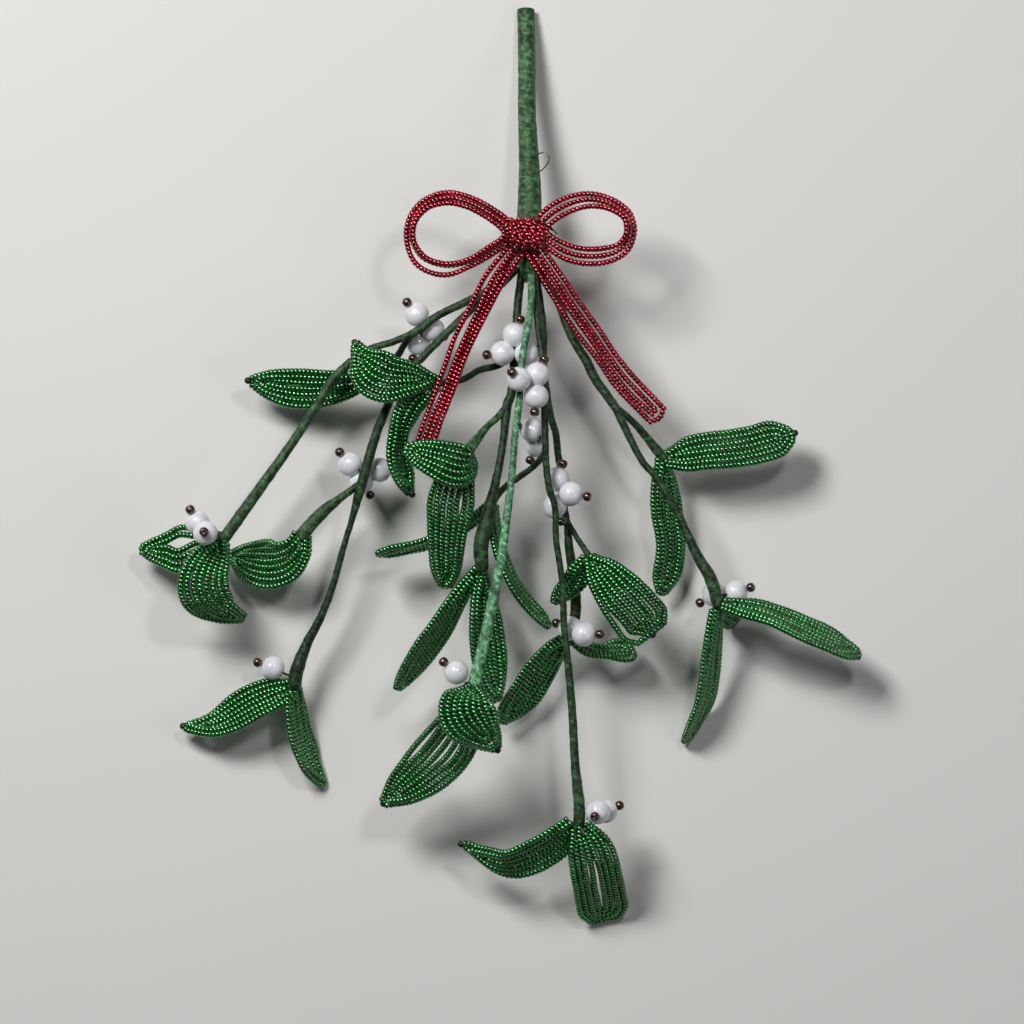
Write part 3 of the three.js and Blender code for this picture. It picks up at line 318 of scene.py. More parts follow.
# Bow tails: the line, then where its four strands lie across it, left to right, and how far
# each lies under the face, at shares of its length.
TAILS = [
    {"line": [(5.6, 70.4, 31.8), (-1.9, 60.6, 33.4), (-7.2, 50.6, 36), (-12.7, 39.4, 38.5),
              (-17.4, 26.6, 40), (-22.2, 13.8, 40.5), (-24.3, 7.4, 40)],
     "across": [(0, (-2.5, -0.7, 0.2, 2.2)), (0.2, (-3, -0.4, 1.3, 2.9)),
                (0.42, (-2.8, 0.2, 1.5, 2.8)), (0.7, (-2.5, 0, 1.3, 2.6)),
                (0.88, (-2.5, -0.7, 0.9, 2.5)), (1, (-2.6, -0.8, 0.9, 2.6))],
     "under": [(0, (0, 0, 1.7, 0)), (0.2, (0, 0, 1, 0)), (0.7, (0, 0, 0.9, 0)),
               (0.88, (0, 0, 0, 0)), (1, (0, 0, 0, 0))],
     "rounded": False},
    {"line": [(10, 70.4, 31.8), (16.7, 60.4, 31.8), (23.3, 50.2, 31), (30.8, 39.8, 29.5),
              (38.8, 28.6, 28.5), (46.9, 20, 28), (51, 15.9, 27.6)],
     "across": [(0, (-2.5, -0.8, 0.8, 2.6)), (0.2, (-3.1, -1, 0.8, 3)),
                (0.42, (-3.3, -0.8, 0.9, 3.2)), (0.62, (-2.9, -1.1, 0.7, 2.9)),
                (0.8, (-3.1, -1.3, 0.9, 3.2)), (1, (-3, -1, 1, 3))],
     "under": [(0, (0, 0, 0, 0)), (1, (0, 0, 0, 0))],
     "rounded": True},
]

BOW_ROW = 1.75  # width of one row of the bow's beads
BOW_FULLER = 0.87  # how wide the bow's beads are beside the leaves' beads
TAIL_INSETS = (0.4, 1, 1, 0.4)  # rows by which the strands of a rounded tail stop short
LOOP_SEED, TAIL_SEED, KNOT_SEED = 60, 70, 71  # how the beads of each part vary
KNOT_CENTRE = Vector((8.2, 74.9, 33.4))
KNOT_TURNS = 9
KNOT_WIDTH, KNOT_HEIGHT, KNOT_DEPTH = 11.8, 11, 8.6
KNOT_SQUARE = 4  # 2 makes its turns round, and more makes them squarer
KNOT_SINK = 0.4  # how much flatter every second turn is
KNOT_LEAN = 2.6  # how far a turn leans sideways from bottom to top
KNOT_SLOPE = 0.22  # how much smaller the outermost turns are
KNOT_STEPS = 40
KNOT_LAYERS = (1, 0.78)  # sizes of its outer and inner turns

# Leaves whose wire is twisted to a dark knob at the tip.
KNOBBED_LEAVES = (1, 2, 3, 12, 14, 15, 16, 18, 26)
KNOB = [(0.6, -1.8), (1, -1.4), (1.15, -0.6), (0.95, 0.1), (0.4, 0.45)]  # (radius, place)
KNOB_SIDES = 8

# Ends of the wire beside the knot, and the loop of copper wire beside the trunk.
KNOT_WIRES = [[(12, 78.2, 33.2), (14.4, 77.9, 33.6), (16.4, 76.4, 34), (17.8, 74.8, 34.6)],
              [(12, 77.6, 33), (14.6, 77.2, 33.2), (16, 76.3, 33.4), (17.4, 75.6, 33.2)]]
TRUNK_WIRE = [(11.2, 100, 18.2), (12.5, 100.9, 18.9), (14.1, 101, 19.5), (15.4, 99.5, 20),
              (14.9, 97.6, 19.8), (13.1, 95.5, 19), (11.6, 94.8, 18.4)]


# Lights: name, place and width in metres, and power in watts.
LIGHTS = [("key_light", (-0.5, 0.6, 1.0), 0.38, 14), ("fill_light", (0.9, -0.3, 0.9), 0.5, 1.6),
          ("glint_light", (0.28, 0.42, 1.1), 0.14, 2.2)]
SKY_COLOUR = (0.9, 0.93, 1, 1)
SKY_STRENGTH = 0.02
FLOOR_REACH = 2.5  # metres from the middle of the floor to its edges
FLOOR_DROP = 0.1 * MM
VIEW_CENTRE = (3.52, -14.08, 0)  # the spot under the camera
VIEW_LEVEL = 28 * MM  # the height at which the view width is measured
SENSOR_WIDTH = 36
CLIP_END = 100

# --- curves -----------------------------------------------------------------------------------


def between(a, b, c, d, u):
    """One value of a Catmull-Rom curve through b and c, at u from 0 to 1."""
    pull = 2 * b + (c - a) * u
    square = (2 * a - 5 * b + 4 * c - d) * u * u
    cube = (3 * b - a - 3 * c + d) * u * u * u
    return (pull + square + cube) / 2


def smooth(points, steps=PATH_STEPS, closed=False):
    """Samples of a smooth curve through points that hold any number of values."""
    count = len(points)
    spans = count if closed else count - 1

    def pick(i):
        return points[i % count] if closed else points[min(max(i, 0), count - 1)]

    samples = []
    for i in range(spans):
        near = [pick(i - 1), pick(i), pick(i + 1), pick(i + 2)]
        for k in range(steps):
            samples.append([between(*values, k / steps) for values in zip(*near)])
    if not closed:
        samples.append(list(points[-1]))
    return samples


class Path:
    """A smooth path, read at shares of its length."""

    def __init__(self, points, steps=PATH_STEPS):
        self.spots = [Vector(p[:3]) for p in smooth(points, steps)]
        self.lengths = [0.0]
        for a, b in zip(self.spots, self.spots[1:]):
            self.lengths.append(self.lengths[-1] + (b - a).length)
        last = len(self.spots) - 1
        self.ways = [(self.spots[min(i + 1, last)] - self.spots[max(i - 1, 0)]).normalized()
                     for i in range(last + 1)]

    def at(self, share):
        """The place and the way at a share of the length."""
        goal = share * self.lengths[-1]
        i = 1
        while i < len(self.spots) - 1 and self.lengths[i] < goal:
            i += 1
        part = (goal - self.lengths[i - 1]) / (self.lengths[i] - self.lengths[i - 1])
        return (self.spots[i - 1].lerp(self.spots[i], part),
                self.ways[i - 1].lerp(self.ways[i], part).normalized())


def read_table(table, share):
    """The values of a (share, values) table at a share, blended between its rows."""
    for (start, low), (end, high) in zip(table, table[1:]):
        if share <= end:
            part = (share - start) / (end - start)
            part = part * part * (3 - 2 * part)
            return [a + (b - a) * part for a, b in zip(low, high)]
    return list(table[-1][1])


def frame_shift():
    """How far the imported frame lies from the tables' origin, in millimetres."""
    node, centre = SINGLE_PEARL
    low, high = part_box(node)
    return (Vector(low) + Vector(high)) / 2 / MM - Vector(centre)


SHIFT = frame_shift()


def placed(spot):
    """A place of the tables in the frame, in metres."""
    return (Vector(spot) + SHIFT) * MM


# --- strands of leaves and bow ------------------------------------------------------------------


def leaf_width(leaf, share):
    """A leaf's width at a share of its length."""
    widths = leaf["widths"]
    last = len(widths) - 1
    i = min(int(share * last), last - 1)
    near = [widths[min(max(k, 0), last)] for k in range(i - 1, i + 3)]
    return between(*near, share * last - i)


def face_at(leaf, share):
    """The way a leaf's face looks at a share of its length."""
    if "up" in leaf:
        place = share * (len(leaf["up"]) - 1)
        i = min(int(place), len(leaf["up"]) - 2)
        return Vector(leaf["up"][i]).lerp(Vector(leaf["up"][i + 1]), place - i)
    chord = Vector(leaf["line"][-1][:2]) - Vector(leaf["line"][0][:2])
    start, end = leaf["roll"]
    roll = math.radians(start + (end - start) * share)
    lean = math.sin(roll) / chord.length
    return Vector((-chord.y * lean, chord.x * lean, math.cos(roll)))


def open_window(share, start, end):
    """0 outside a slit and 1 along most of it."""
    rise = SLIT_EASE * (end - start)
    return max(0.0, min(1.0, (share - start) / rise, (end - share) / rise))


def strand_reach(leaf, length):
    """From which share to which each strand runs, the outermost pair first."""
    count = leaf.get("strands", LEAF_STRANDS)
    scan = [k / SCAN_STEPS for k in range(SCAN_STEPS + 1)]
    reach = [(0.0, 1 - 0.5 * ROW / length)]
    for depth in range(1, (count + 1) // 2):
        within = count - 2 * depth  # strands inside the pair outside this one
        level = 2 * depth + min(within, 2) / 2
        wide = [s for s in scan if leaf_width(leaf, s) >= TIP_CROWD * level * ROW]
        wide_base = [s for s in scan if leaf_width(leaf, s) >= BASE_CROWD * level * ROW]
        if not wide or not wide_base:
            break
        end = min(wide[-1], reach[-1][1] - TIP_GAP * ROW / length)
        reach.append((min(wide_base[0], end), end))
    return reach


def strand_places(leaf, share, reach, length):
    """How far each strand lies left of the centre line, how full it is there, and its width."""
    count = leaf.get("strands", LEAF_STRANDS)
    fade = FADE_ROWS * ROW / length
    full = []
    for i in range(count):
        depth = min(i, count - 1 - i)
        start, end = reach[depth] if depth < len(reach) else (2, -1)
        full.append(max(0.0, min(1.0, 1 - (start - share) / fade, 1 - (share - end) / fade)))
    total = max(sum(full), 1.0)
    width = leaf_width(leaf, share)
    row = min(width / total, leaf.get("row", ROW))
    spare = width - row * total
    parts = [0.0] * (count - 1)
    for strand, start, end, part in leaf.get("slits", []):
        parts[strand] += part * open_window(share, start, end)
    rest = (1 - sum(parts)) / (count - 1)
    places = [width / 2 - row * full[0] / 2]
    for i, part in enumerate(parts):
        places.append(places[-1] - row * (full[i] + full[i + 1]) / 2 - spare * (part + rest))
    return places, full, row


def leaf_spot(leaf, path, share, side, lift=0.0):
    """The place on a leaf's face that lies `side` to the left of its centre line."""
    at, along = path.at(share)
    across = face_at(leaf, share).cross(along).normalized()
    out = along.cross(across)
    half = max(leaf["widths"]) / 2
    cup = leaf.get("cup", LEAF_CUP) * (leaf_width(leaf, share) / 2 / half) * (side / half) ** 2
    return at + across * side + out * (cup + lift)


def leaf_strands(leaf, seed):
    """Every strand of a leaf. The two of a pair are one wire that turns at the tip."""
    path = Path(leaf["line"])
    length = path.lengths[-1]
    reach = strand_reach(leaf, length)
    count = leaf.get("strands", LEAF_STRANDS)
    sides = [[] for _ in range(count)]
    for k in range(LEAF_STEPS + 1):
        share = k / LEAF_STEPS
        places, full, row = strand_places(leaf, share, reach, length)
        for i, place in enumerate(places):
            if full[i] < WHOLE:
                continue
            wave = noise.noise(Vector((share * 5, i * 3.7, seed * 1.9)))
            stagger = 0.5 * (ROW - row) * (1 if i % 2 else -1)
            sides[i].append(leaf_spot(leaf, path, share, place + SWAY * wave,
                                      HEAVE * wave + stagger))
    strands = [sides[i] + sides[count - 1 - i][::-1] for i in range(count // 2)]
    if count % 2:
        strands.append(sides[count // 2])
    return [strand for strand in strands if len(strand) > 1]


def tail_strands(tail):
    """The four strands of a bow tail, the outer and inner pairs joined where its end is round."""
    path = Path(tail["line"])
    sides = [[] for _ in range(4)]
    for k in range(LEAF_STEPS + 1):
        share = k / LEAF_STEPS
        at, along = path.at(share)
        across = UP.cross(along).normalized()
        for i in range(4):
            inset = TAIL_INSETS[i] * BOW_ROW
            if tail["rounded"] and share * path.lengths[-1] > path.lengths[-1] - inset:
                continue
            place = read_table(tail["across"], share)[i]
            depth = read_table(tail["under"], share)[i]
            wave = noise.noise(Vector((share * 9, i * 2.3, 40)))
            sides[i].append(at + across * (place + SWAY * wave) + UP * (HEAVE * wave - depth))
    if not tail["rounded"]:
        return sides
    at, along = path.at(1)
    return [sides[0] + [at - along * 0.1] + sides[3][::-1], sides[1] + sides[2][::-1]]


def loop_strands(points):
    """The inner, middle and outer strand of a bow loop, each closed."""
    samples = smooth([spot + rows for spot, rows in points], closed=True)
    spots = [Vector(s[:3]) for s in samples]
    middle = sum(spots, Vector()) / len(spots)
    strands = [[], [], []]
    for i, at in enumerate(spots):
        along = spots[(i + 1) % len(spots)] - spots[i - 1]
        outward = Vector((along.y, -along.x, 0)).normalized()
        if outward.dot(at - middle) < 0:
            outward.negate()
        lean_in, slit_in, lean_out, slit_out = samples[i][3:]
        sides = []
        for lean, slit, way in ((lean_in, slit_in, -1), (0, -BOW_ROW, 1), (lean_out, slit_out, 1)):
            reach = (BOW_ROW + slit) * way
            turn = math.radians(lean)
            sides.append(at + outward * reach * math.cos(turn)
                         - UP * reach * math.sin(turn))
        for strand, spot in zip(strands, sides):
            strand.append(spot)
    return strands


def knot_strands():
    """Turns around the knot that lean both ways, so that they cross on its face."""
    strands = []
    reach = (KNOT_WIDTH - BOW_ROW) / 2
    for row, (depth, layer) in itertools.product(range(KNOT_TURNS), enumerate(KNOT_LAYERS)):
        place = row / (KNOT_TURNS - 1) - 0.5
        crowd = layer * (1 - KNOT_SLOPE * (2 * place) ** 2)
        turn = []
        for k in range(KNOT_STEPS):
            angle = math.tau * k / KNOT_STEPS
            square = (abs(math.cos(angle)) ** KNOT_SQUARE
                      + abs(math.sin(angle)) ** KNOT_SQUARE) ** (-1 / KNOT_SQUARE)
            lean = KNOT_LEAN * math.cos(angle) * (1 if (row + depth) % 2 else -1)
            sink = KNOT_SINK if row % 2 else 0
            turn.append(KNOT_CENTRE + Vector((
                max(-reach, min(2 * reach * place + lean, reach)),
                math.cos(angle) * square * crowd * (KNOT_HEIGHT - BOW_ROW) / 2,
                math.sin(angle) * square * crowd * (KNOT_DEPTH - BOW_ROW - sink) / 2,
            )))
        strands.append(turn)
    return strands

# --- meshes -------------------------------------------------------------------------------------


def put_in_scene(name, data):
    """A new object of a mesh, curve, light or camera."""
    made = bpy.data.objects.new(name, data)
    bpy.context.collection.objects.link(made)
    return made


def add_mesh(name, verts, faces, material, uvs=None):
    """A smooth mesh object of vertices in metres. `uvs` holds one pair for each vertex."""
    mesh = bpy.data.meshes.new(name)
    mesh.from_pydata(verts, [], faces)
    if uvs:
        layer = mesh.uv_layers.new(name="tape")
        for loop in mesh.loops:
            layer.data[loop.index].uv = uvs[loop.vertex_index]
    mesh.shade_smooth()
    mesh.materials.append(material)
    mesh.update()
    return put_in_scene(name, mesh)


def finish_piece(piece, nodes, slot):
    """Sets a piece on the part's body, in the place of its solids."""
    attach(piece, "root")
    if nodes:
        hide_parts(*nodes)


def ring_faces(rings, sides):
    """The faces of a closed tube whose vertices follow each other ring by ring."""
    faces = []
    top = (rings - 1) * sides
    for ring in range(0, top, sides):
        for k in range(sides):
            side = (k + 1) % sides
            faces.append((ring + k, ring + side, ring + sides + side, ring + sides + k))
    faces.append([k for k in range(sides)][::-1])
    faces.append([top + k for k in range(sides)])
    return faces


def frames_along(spots):
    """Directions across and up from a path at each of its points, without twist."""
    last = len(spots) - 1
    up = UP
    frames = []
    for i in range(last + 1):
        along = (spots[min(i + 1, last)] - spots[max(i - 1, 0)]).normalized()
        across = up.cross(along).normalized()
        up = along.cross(across)
        frames.append((across, up))
    return frames


def swept_tube(spots, radii, sides, relief=None):
    """Vertices, faces and a (turn, length) pair for each vertex of a closed tube along spots."""
    verts, pairs = [], []
    length = 0.0
    for i, (spot, radius, (across, up)) in enumerate(zip(spots, radii, frames_along(spots))):
        if i:
            length += (spot - spots[i - 1]).length
        for k in range(sides):
            angle = math.tau * k / sides
            size = radius + (relief(angle, length, spot) if relief else 0.0)
            verts.append(spot + across * size * math.cos(angle) + up * size * math.sin(angle))
            pairs.append((k / sides, length))
    return verts, ring_faces(len(spots), sides), pairs


def wire_shape(spots, radius, sides):
    """Vertices and faces of a wire along spots."""
    return swept_tube([Vector(spot) for spot in spots], [radius] * len(spots), sides)[:2]


def lathe(profile, centre, way, sides):
    """Vertices and faces of a closed turned shape, its (radius, height) profile along `way`."""
    turn = UP.rotation_difference(Vector(way).normalized())
    verts = []
    for radius, height in profile:
        for k in range(sides):
            angle = math.tau * k / sides
            spot = Vector((radius * math.cos(angle), radius * math.sin(angle), height))
            verts.append(Vector(centre) + turn @ spot)
    return verts, ring_faces(len(profile), sides)


def mesh_piece(name, shapes, material, nodes, slot, uvs=None):
    """One piece of several shapes in the tables' millimetres, none of it below the floor."""
    verts, faces = [], []
    for shape_verts, shape_faces in shapes:
        start = len(verts)
        verts.extend(placed(vert) for vert in shape_verts)
        faces.extend([start + i for i in face] for face in shape_faces)
    for vert in verts:
        vert.z = max(vert.z, CAD_BOX[0][2])
    piece = add_mesh(name, verts, faces, material, uvs)
    finish_piece(piece, nodes, slot)
    return piece


# --- nodes --------------------------------------------------------------------------------------


def feed(tree, node, inputs):
    """Links or sets a node's inputs by name or number: a socket is linked, a value is set."""
    for key, given in inputs.items():
        socket = node.inputs[key] if isinstance(key, int) else next(
            s for s in node.inputs if s.name == key and s.enabled)
        for value in given if isinstance(given, list) else [given]:
            if isinstance(value, bpy.types.NodeSocket):
                tree.links.new(value, socket)
            else:
                socket.default_value = value


def put_node(tree, kind, inputs=None, output=None, **settings):
    """Adds a node, and gives the output of that name or else its first."""
    node = tree.nodes.new(kind)
    for key, value in settings.items():
        setattr(node, key, value)
    feed(tree, node, inputs or {})
    return node.outputs[output] if output else next(s for s in node.outputs if s.enabled)


# --- bead strings with Geometry Nodes -----------------------------------------------------------

STRING_INPUTS = [("Strands", "Geometry", None), ("Bead", "Object", None),
                 ("Pitch", "Float", 1.32 * MM), ("Wire Radius", "Float", 0.2 * MM),
                 ("Size Change", "Float", 0.06), ("Seed", "Int", 1),
                 ("Bead Finish", "Material", None), ("Wire Finish", "Material", None)]


def bead_shape(diameter, length):
    """A barrel bead along Z, as a loose object for the strings to repeat."""
    radius, half = diameter / 2, length / 2
    profile = [(wide * radius, far * half) for wide, far in BEAD_PROFILE]
    verts, faces = lathe(profile, (0, 0, 0), UP, BEAD_SIDES)
    mesh = bpy.data.meshes.new("bead_shape")
    mesh.from_pydata(verts, [], faces)
    # How near each vertex lies to the bead's ends, where the glass paints shade.
    end_shade_layer = mesh.attributes.new("painted_end_shade", "FLOAT", "POINT")
    end_shade_layer.data.foreach_set("value", [(vert.z / half) ** 2 for vert in verts])
    mesh.shade_smooth()
    return put_in_scene("bead_shape", mesh)


def bead_string_tree():
    """Geometry Nodes that thread beads on strands of wire."""
    tree = bpy.data.node_groups.new("bead_string", "GeometryNodeTree")
    for name, kind, default in STRING_INPUTS:
        socket = tree.interface.new_socket(
            name=name, in_out="INPUT", socket_type="NodeSocket" + kind)
        if default is not None:
            socket.default_value = default
    tree.interface.new_socket(name="String", in_out="OUTPUT", socket_type="NodeSocketGeometry")
    given = tree.nodes.new("NodeGroupInput").outputs

    spots = put_node(tree, "GeometryNodeResampleCurve", {
        "Curve": given["Strands"], "Length": given["Pitch"]}, mode="LENGTH")
    tangent = put_node(tree, "GeometryNodeInputTangent")
    turn = put_node(tree, "FunctionNodeAlignRotationToVector", {"Vector": tangent}, axis="Z")
    least = put_node(tree, "ShaderNodeMath", {0: 1.0, 1: given["Size Change"]},
                     operation="SUBTRACT")
    size = put_node(tree, "FunctionNodeRandomValue", {
        "Min": least, "Max": 1.0, "Seed": given["Seed"]}, data_type="FLOAT")
    bead = put_node(tree, "GeometryNodeObjectInfo", {"Object": given["Bead"]}, "Geometry")
    beads = put_node(tree, "GeometryNodeInstanceOnPoints", {
        "Points": spots, "Instance": bead, "Rotation": turn, "Scale": size})
    shade_seed = put_node(tree, "ShaderNodeMath", {0: given["Seed"], 1: SHADE_SEED},
                          operation="ADD")
    shade = put_node(tree, "FunctionNodeRandomValue", {"Seed": shade_seed}, data_type="FLOAT")
    shaded = put_node(tree, "GeometryNodeStoreNamedAttribute", {
        "Geometry": beads, "Name": "bead_shade", "Value": shade},
        data_type="FLOAT", domain="INSTANCE")
    realized = put_node(tree, "GeometryNodeRealizeInstances", {"Geometry": shaded})
    painted = put_node(tree, "GeometryNodeSetMaterial", {
        "Geometry": realized, "Material": given["Bead Finish"]})
    round_wire = put_node(tree, "GeometryNodeCurvePrimitiveCircle", {
        "Resolution": THREAD_SIDES, "Radius": given["Wire Radius"]})
    wire = put_node(tree, "GeometryNodeCurveToMesh", {
        "Curve": given["Strands"], "Profile Curve": round_wire, "Fill Caps": True})
    dark = put_node(tree, "GeometryNodeSetMaterial", {
        "Geometry": wire, "Material": given["Wire Finish"]})
    string = put_node(tree, "GeometryNodeJoinGeometry", {"Geometry": [dark, painted]})
    feed(tree, tree.nodes.new("NodeGroupOutput"), {"String": string})
    return tree


def strand_curve(name, strands, closed, radius):
    """Strands of places in the tables' millimetres as one curve object, with room for beads."""
    lowest, highest = CAD_BOX[0][2] + radius, CAD_BOX[1][2] - radius * HEADROOM
    curve = bpy.data.curves.new(name, "CURVE")
    curve.dimensions = "3D"
    for strand in strands:
        spline = curve.splines.new("POLY")
        spline.points.add(len(strand) - 1)
        for point, spot in zip(spline.points, strand):
            spot = placed(spot)
            point.co = (spot.x, spot.y, min(max(spot.z, lowest), highest), 1)
        spline.use_cyclic_u = closed
    return put_in_scene(name, curve)


def bead_piece(node, strands, glass, slot, seed, closed=False, fuller=1.0):
    """A piece of beads threaded along strands, as wide as a seed bead times `fuller`."""
    name = "beaded_" + node
    sizes = bpy.context.scene.mistletoe_beads
    diameter = sizes.bead_diameter * fuller
    guide = strand_curve(name + "_guide", strands, closed, diameter / 2)
    bead = bead_shape(diameter, sizes.bead_length)
    tree = bpy.data.node_groups.get("bead_string") or bead_string_tree()
    modifier = guide.modifiers.new("bead_string", "NODES")
    modifier.node_group = tree
    values = {"Bead": bead, "Pitch": sizes.bead_pitch, "Wire Radius": sizes.wire_diameter / 2,
              "Size Change": sizes.bead_variation, "Seed": sizes.seed + seed,
              "Bead Finish": glass, "Wire Finish": finish("bead_wire", dark_wire)}
    for item in tree.interface.items_tree:
        if item.in_out == "INPUT" and item.name in values:
            modifier[item.identifier] = values[item.name]
    bpy.context.view_layer.update()
    depsgraph = bpy.context.evaluated_depsgraph_get()
    mesh = bpy.data.meshes.new_from_object(guide.evaluated_get(depsgraph), depsgraph=depsgraph)
    guide.modifiers.remove(modifier)
    for loose in (guide, bead):
        bpy.data.objects.remove(loose)
    if not mesh.polygons:
        raise RuntimeError(f"{name}: no beads were strung")
    mesh.name = name
    finish_piece(put_in_scene(name, mesh), [node], slot)


# --- materials ----------------------------------------------------------------------------------


def finish(name, paint, *values):
    """The material of that name, painted on its shader when it is first asked for."""
    material = bpy.data.materials.get(name)
    if not material:
        material = bpy.data.materials.new(name)
        material.use_nodes = True
        paint(material.node_tree, material.node_tree.nodes["Principled BSDF"], *values)
    return material


def ramp(tree, factor, stops):
    """A colour ramp of (position, colour) stops that reads `factor`."""
    node = tree.nodes.new("ShaderNodeValToRGB")
    while len(node.color_ramp.elements) < len(stops):
        node.color_ramp.elements.new(0.5)
    for element, (position, colour) in zip(node.color_ramp.elements, stops):
        element.position = position
        element.color = (*colour[:3], 1)
    tree.links.new(factor, node.inputs["Fac"])
    return node.outputs["Color"]


def grey_ramp(tree, factor, stops):
    return ramp(tree, factor, [(position, (level,) * 3) for position, level in stops])


def scaled(colour, factor):
    return tuple(min(1.0, value * factor) for value in colour[:3])


def own_place(tree):
    return put_node(tree, "ShaderNodeTexCoord", output="Object")


def clouds(tree, place, scale, **more):
    """Noise over a place, from 0 to 1."""
    return put_node(tree, "ShaderNodeTexNoise", {"Vector": place, "Scale": scale, **more})


def stored(tree, name):
    """A number kept at each vertex."""
    return put_node(tree, "ShaderNodeAttribute", output="Fac", attribute_name=name)


def times(tree, colour, other):
    return put_node(tree, "ShaderNodeMix", {"Factor": 1, "A": colour, "B": other},
                    data_type="RGBA", blend_type="MULTIPLY")


def between_floats(tree, share, a, b):
    return put_node(tree, "ShaderNodeMix", {"Factor": share, "A": a, "B": b}, data_type="FLOAT")


def bumped(tree, height, strength, distance):
    return put_node(tree, "ShaderNodeBump", {
        "Strength": strength, "Distance": distance, "Height": height})


def bead_glass(tree, shader, colour, gloss):
    """Silver-lined glass, which reflects light in its own colour, with painted shade that darkens
    each bead towards its ends, where the beads meet.
    """
    shade = stored(tree, "bead_shade")
    tint = ramp(tree, shade, [
        (0, scaled(colour, 0.6)), (0.5, colour), (1, scaled(colour, 1.5))])
    # Painted shade: a bead's colour falls to a fifth towards its ends, where it meets the next
    # bead.
    depth = grey_ramp(tree, stored(tree, "painted_end_shade"), [(0, 1), (1, 0.2)])
    rough = put_node(tree, "ShaderNodeMapRange", {
        "To Min": 0.34, "To Max": 0.24, "Value": shade})
    feed(tree, shader, {
        "Base Color": times(tree, tint, depth), "Roughness": rough, "Metallic": 0.85,
        "Specular Tint": (*scaled(colour, 2.5), 1), "Coat Weight": gloss, "Coat IOR": 2.2,
        "Coat Roughness": 0.1})


def dark_wire(tree, shader):
    """Dark wire that the beads are threaded on."""
    grain = clouds(tree, own_place(tree), 400)
    feed(tree, shader, {
        "Base Color": ramp(tree, grain, [(0.3, (0.012, 0.02, 0.012)), (0.7, (0.05, 0.06, 0.04))]),
        "Metallic": 0.7, "Roughness": 0.4})


def crepe_tape(tree, shader, colour, pitch):
    """Crepe tape wound in a spiral, with stretched wrinkles and patches of random tone. Painted
    highlight on each turn's raised edge and painted shade in the crease under it; the colour also
    follows the wrinkles' bump, with painted shade in their hollows and painted highlight on their
    crests.
    """
    along = put_node(tree, "ShaderNodeUVMap", uv_map="tape")
    around = put_node(tree, "ShaderNodeSeparateXYZ", {"Vector": along})
    wraps = put_node(tree, "ShaderNodeMath", {
        0: around.node.outputs["Y"], 1: 1 / pitch, 2: around}, operation="MULTIPLY_ADD")
    turn = put_node(tree, "ShaderNodeMath", {0: wraps}, operation="FRACT")
    # Painted shade in the crease under each turn's overlap, and painted highlight on the turn's
    # raised edge.
    edge = grey_ramp(tree, turn, [(0, 0.3), (0.1, 0.5), (0.85, 0.5), (0.96, 0.8)])
    place = own_place(tree)
    patches = clouds(tree, place, 560, Detail=5, Roughness=0.65)
    across = put_node(tree, "ShaderNodeCombineXYZ", {"X": turn})
    spread = put_node(tree, "ShaderNodeVectorMath", {"Vector": across, "Scale": 3},
                      operation="SCALE")
    folds = put_node(tree, "ShaderNodeVectorMath", {0: place, 1: (90, 90, 90), 2: spread},
                     operation="MULTIPLY_ADD")
    mixed = between_floats(tree, 0.28, patches, clouds(tree, folds, 1.6, Detail=4))
    # The colour follows the bump's height: random patches of tone, with painted shade in the
    # wrinkles' hollows and painted highlight on their crests.
    tint = ramp(tree, between_floats(tree, 0.15, mixed, edge), [
        (0.42, scaled(colour, 0.3)), (0.47, scaled(colour, 0.7)), (0.53, scaled(colour, 1.3)),
        (0.6, scaled(colour, 3))])
    height = put_node(tree, "ShaderNodeMath", {0: mixed, 1: 1.6, 2: edge},
                      operation="MULTIPLY_ADD")
    feed(tree, shader, {
        "Base Color": times(tree, tint, stored(tree, "tape_tone")),
        "Normal": bumped(tree, height, 0.8, 0.5 * MM), "Roughness": 0.42,
        "Specular IOR Level": 0.35})


def pearl_lustre(tree, shader, colour):
    """Off-white pearl with a soft, slightly uneven lustre."""
    haze = clouds(tree, own_place(tree), 220, Detail=3)
    tint = ramp(tree, haze, [
        (0.3, (colour[0] * 0.8, colour[1] * 0.79, colour[2] * 0.82)), (0.5, colour),
        (0.7, (min(1, colour[0] * 1.05), colour[1] * 1.02, colour[2] * 0.98))])
    feed(tree, shader, {
        "Base Color": tint, "Normal": bumped(tree, haze, 0.25, 0.15 * MM), "Roughness": 0.32,
        "Coat Weight": 0.7, "Coat Roughness": 0.12, "Sheen Weight": 0.15})


def bronze_lustre(tree, shader, colour):
    """Bronze stop beads and copper wire, darker in places."""
    tint = ramp(tree, clouds(tree, own_place(tree), 500), [
        (0.3, scaled(colour, 0.5)), (0.6, scaled(colour, 1.0)), (0.8, scaled(colour, 1.7))])
    feed(tree, shader, {
        "Base Color": tint, "Metallic": 0.85, "Roughness": 0.22, "Coat Weight": 0.5})


def pale_floor(tree, shader, colour):
    """Plain pale floor with the faintest mottle."""
    mottle = clouds(tree, own_place(tree), 6)
    feed(tree, shader, {
        "Base Color": ramp(tree, mottle, [(0.2, scaled(colour, 0.985)), (0.8, colour)]),
        "Roughness": 0.85})


# --- settings -----------------------------------------------------------------------------------


